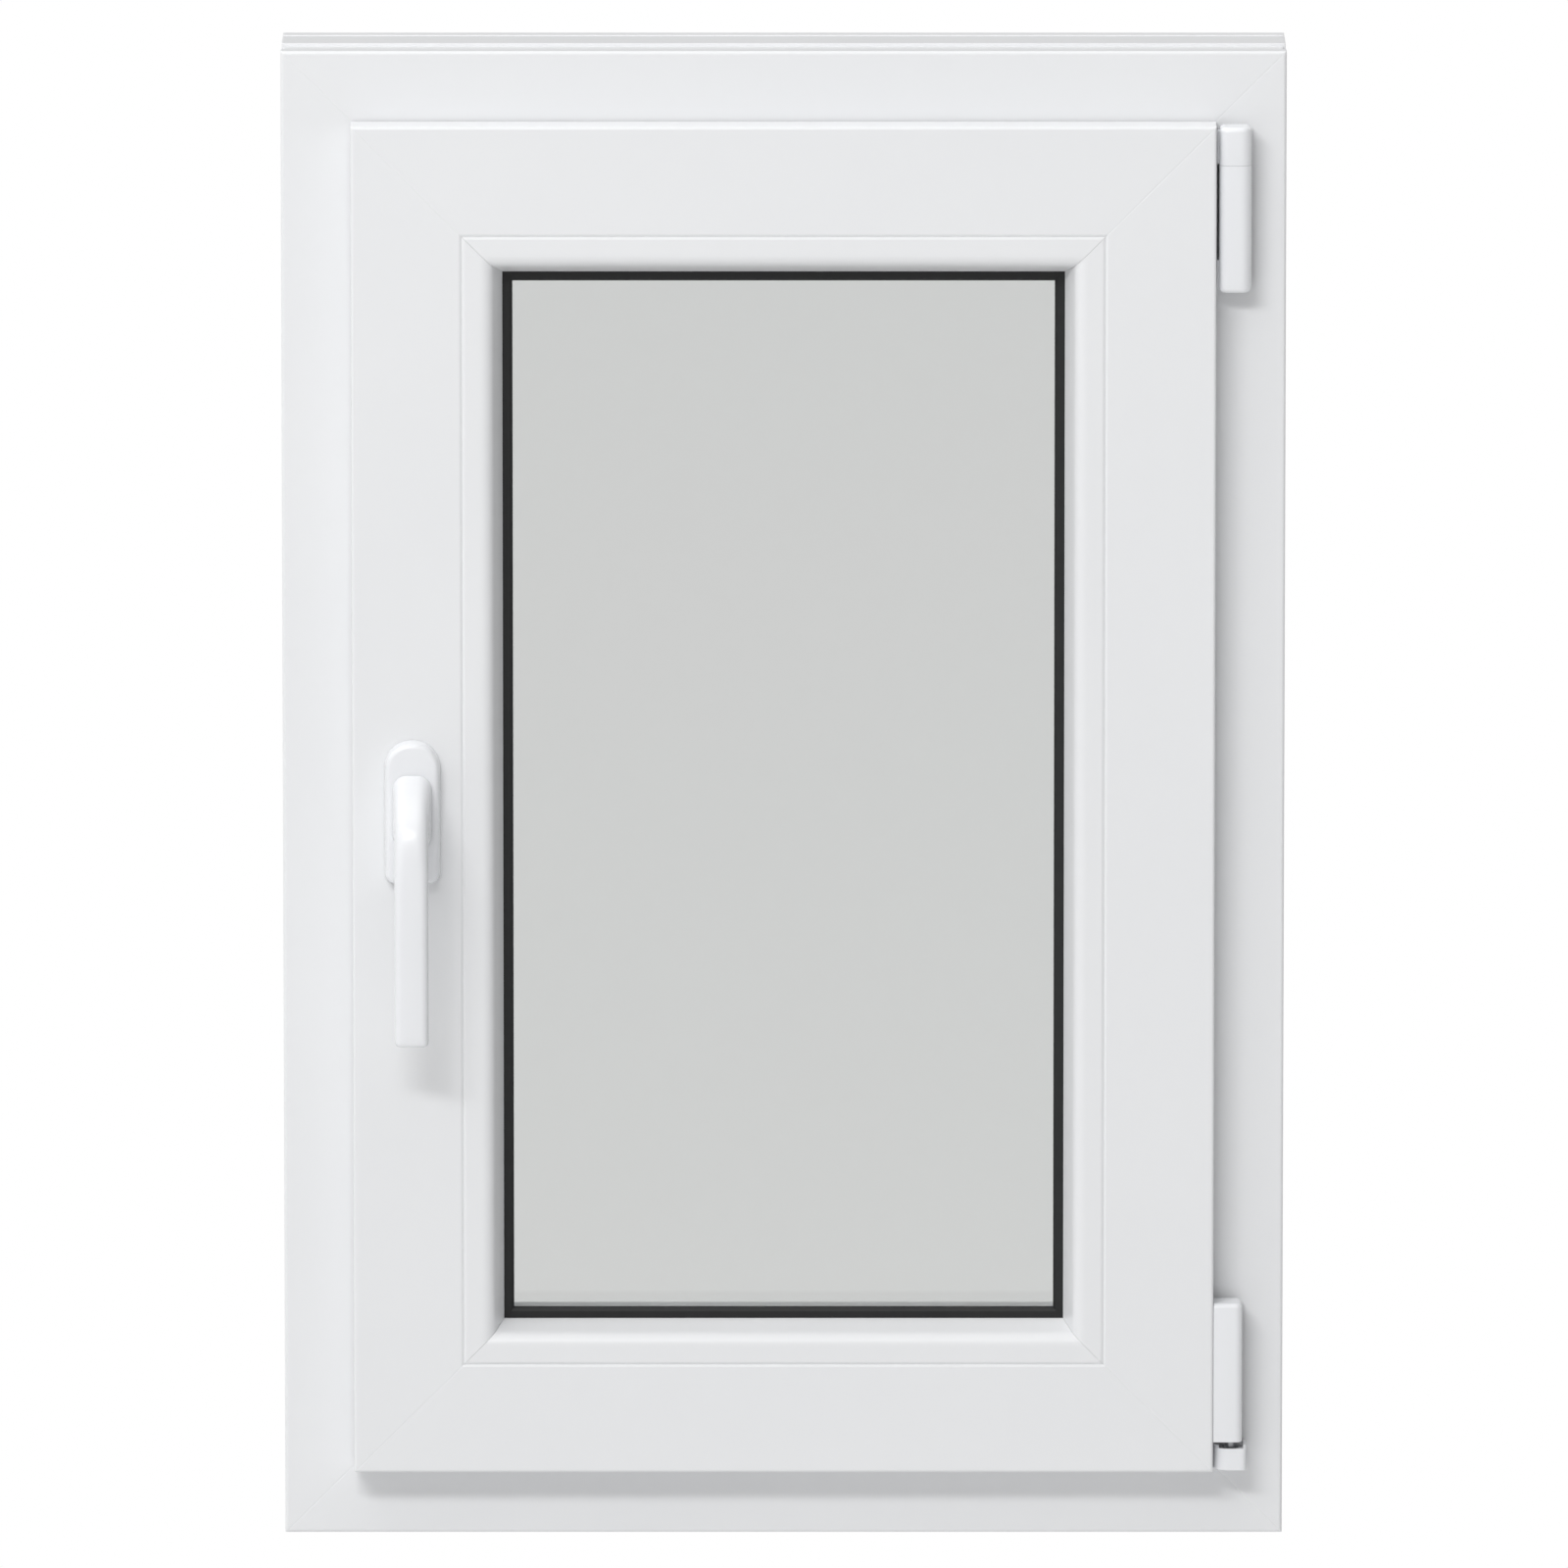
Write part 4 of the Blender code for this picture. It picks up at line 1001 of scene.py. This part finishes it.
def screwRow(name, body, count, start, step, turn, height):
    mesh = bpy.data.meshes.new(name)
    piece = bpy.data.objects.new(name, mesh)
    bpy.context.scene.collection.objects.link(piece)
    modifier = piece.modifiers.new("screws", "NODES")
    modifier.node_group = screwTree
    values = {
        "Count": count, "Start": start, "Step": step, "Turn": turn, "Radius": screwShape["radius"] * mm,
        "Height": height * mm, "Material": materials["zinc_hardware"]}
    for key, value in values.items():
        modifier[socketId(screwTree, key)] = value
    settle(piece, "zinc_hardware")
    return finishPiece(piece, body, "zinc_hardware")


quarter = math.pi / 2
facing = {"left": (0, -quarter, 0), "up": (0, 0, 0), "right": (0, quarter, 0), "down": (2 * quarter, 0, 0)}
screwLine = -25.0    # depth of the line that all the screws stand on

# name, body, fitting, count, first screw's X and Z as (end of the fitting, shift), pitch in X and Z or
# the way that the row spreads evenly along the fitting, facing
screwRows = [
    ("keeperScrewsLower", "frame", "striker_side_lower", 2, (0, 2.2), (0, 5), "Z", "right"),
    ("keeperScrewsUpper", "frame", "striker_side_upper", 2, (0, 2.2), (0, 5), "Z", "right"),
    ("keeperScrewsTop", "frame", "striker_top", 2, (0, 5), (1, -2.2), "X", "down"),
    ("keeperScrewsBottom", "frame", "striker_bottom", 2, (0, 5), (0, 2.2), "X", "up"),
    ("faceplateScrews", "sash", "gear_faceplate", 4, (0, 0), (0, 12), "Z", "left"),
    ("cornerScrewTop", "sash", "corner_drive_top", 1, (0, 0), (0, 8), (0, 0), "left"),
    ("cornerScrewTopSide", "sash", "corner_drive_top", 1, (1, -8), (1, 0), (0, 0), "up"),
    ("cornerScrewBottom", "sash", "corner_drive_bottom", 1, (0, 0), (1, -8), (0, 0), "left"),
    ("cornerScrewBottomSide", "sash", "corner_drive_bottom", 1, (1, -8), (0, 0), (0, 0), "down"),
    ("guideScrews", "sash", "stay_guide", 3, (0, 105), (1, 0), (68, 0), "up"),
    ("hingeScrews", "sash", "corner_hinge", 3, (0, 2.2), (0, 10), (0, 24), "right")]


def placeScrews():
    for name, body, fitting, count, (endX, shiftX), (endZ, shiftZ), pitch, way in screwRows:
        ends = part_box(fitting)
        size = ends[1] - ends[0]
        start = (ends[endX].x + shiftX * mm, screwLine * mm, ends[endZ].z + shiftZ * mm)
        if pitch == "X":
            step = ((size.x - 2 * shiftX * mm) / (count - 1), 0, 0)
        elif pitch == "Z":
            step = (0, 0, (size.z - 2 * shiftZ * mm) / (count - 1))
        else:
            step = (pitch[0] * mm, 0, pitch[1] * mm)
        height = screwShape["guideHeight" if fitting == "stay_guide" else "height"]
        screwRow(name, body, count, start, step, facing[way], height)


placeScrews()
print("fittings made")


# what stays as the CAD has it gets its finish
slotOf = {entry["node"]: entry["material_slot"] for entry in frame["record"]["subparts"]}
for node, shown in nodes.items():
    shown.data.materials.clear()
    shown.data.materials.append(materials[slotOf[node]])


# floor, light and camera

studio = {
    "floorDrop": 0.90, "floorHalf": 60.0, "floorLevel": 0.76, "world": 0.23, "skyGlow": 1.6, "skyFocus": 3.0,
    "lamp": 57.0, "lampAway": 4.0, "lampWide": 1.9, "lampTall": 0.45, "cameraAway": 12.0, "rise": 9.5,
    "aimX": 0.0002, "aimZ": 0.3809, "width": 0.7830, "sensor": 36.0, "clipEnd": 200.0}
lightWay = Vector((0.33, 1.0, -0.70)).normalized()
skyWay = Vector((-0.38, -0.12, 0.92)).normalized()
pureWhite = (1.0, 1.0, 1.0, 1.0)


def seenDirectly(made, direct, other):
    # what the camera sees straight on, and what lights the object
    path = made.node("LightPath")
    mixed = made.node("MixShader", {}, {0: Wire(made, path.outputs["Is Camera Ray"])})
    made.tree.links.new(other, mixed.inputs[1])
    made.tree.links.new(direct, mixed.inputs[2])
    return mixed.outputs[0]


def makeFloor():
    bm = bmesh.new()
    bmesh.ops.create_grid(bm, x_segments=1, y_segments=1, size=studio["floorHalf"])
    mesh = bpy.data.meshes.new("floor")
    bm.to_mesh(mesh)
    bm.free()
    floor = bpy.data.objects.new("floor", mesh)
    floor.location = (0, 0, -studio["floorDrop"])
    bpy.context.scene.collection.objects.link(floor)
    made = Finish("paleFloor", Roughness=0.9, Specular_IOR_Level=0.1)
    made.shader.inputs["Base Color"].default_value = grey(studio["floorLevel"])
    white = made.node("Emission", {}, {"Color": pureWhite, "Strength": 1.0})
    mixed = seenDirectly(made, white.outputs[0], made.shader.outputs[0])
    made.tree.links.new(mixed, made.tree.nodes["Material Output"].inputs["Surface"])
    mesh.materials.append(made.material)


def makeLight():
    world = bpy.data.worlds.new("studio")
    world.use_nodes = True
    tree = world.node_tree
    background = tree.nodes["Background"]
    background.inputs["Color"].default_value = pureWhite
    made = Sky(tree)
    towards = made.node("VectorMath", {"operation": "DOT_PRODUCT"}, {
        0: Wire(made, made.node("TexCoord").outputs["Generated"]), 1: skyWay})
    lit = Wire(made, made.node("Math", {"operation": "MAXIMUM"}, {
        0: Wire(made, towards.outputs["Value"]), 1: 0.0}).outputs[0])
    soft = studio["world"] + studio["skyGlow"] * lit ** studio["skyFocus"]
    seen = Wire(made, made.node("LightPath").outputs["Is Camera Ray"])
    strength = soft + seen * (1.0 - soft)
    tree.links.new(strength.socket, background.inputs["Strength"])
    bpy.context.scene.world = world
    lamp = bpy.data.lights.new("key", "AREA")
    lamp.shape = "RECTANGLE"
    lamp.size = studio["lampWide"]
    lamp.size_y = studio["lampTall"]
    lamp.energy = studio["lamp"]
    key = bpy.data.objects.new("key", lamp)
    key.location = Vector((0, 0, studio["aimZ"])) - lightWay * studio["lampAway"]
    key.rotation_mode = "QUATERNION"
    key.rotation_quaternion = lightWay.to_track_quat("-Z", "Y")
    key.visible_camera = False
    bpy.context.scene.collection.objects.link(key)


def makeCamera():
    lens = bpy.data.cameras.new("camera")
    lens.sensor_width = studio["sensor"]
    lens.lens = studio["sensor"] * studio["cameraAway"] / studio["width"]
    lens.clip_end = studio["clipEnd"]
    camera = bpy.data.objects.new("camera", lens)
    rise = math.radians(studio["rise"])
    aim = Vector((studio["aimX"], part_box("frame_sill")[0].y, studio["aimZ"]))
    back = Vector((0, -math.cos(rise), math.sin(rise)))
    camera.location = aim + back * studio["cameraAway"]
    camera.rotation_mode = "QUATERNION"
    camera.rotation_quaternion = (-back).to_track_quat("-Z", "Y")
    bpy.context.scene.collection.objects.link(camera)
    bpy.context.scene.camera = camera


makeFloor()
makeLight()
makeCamera()
bpy.context.scene.view_settings.view_transform = "Standard"
print("studio made")
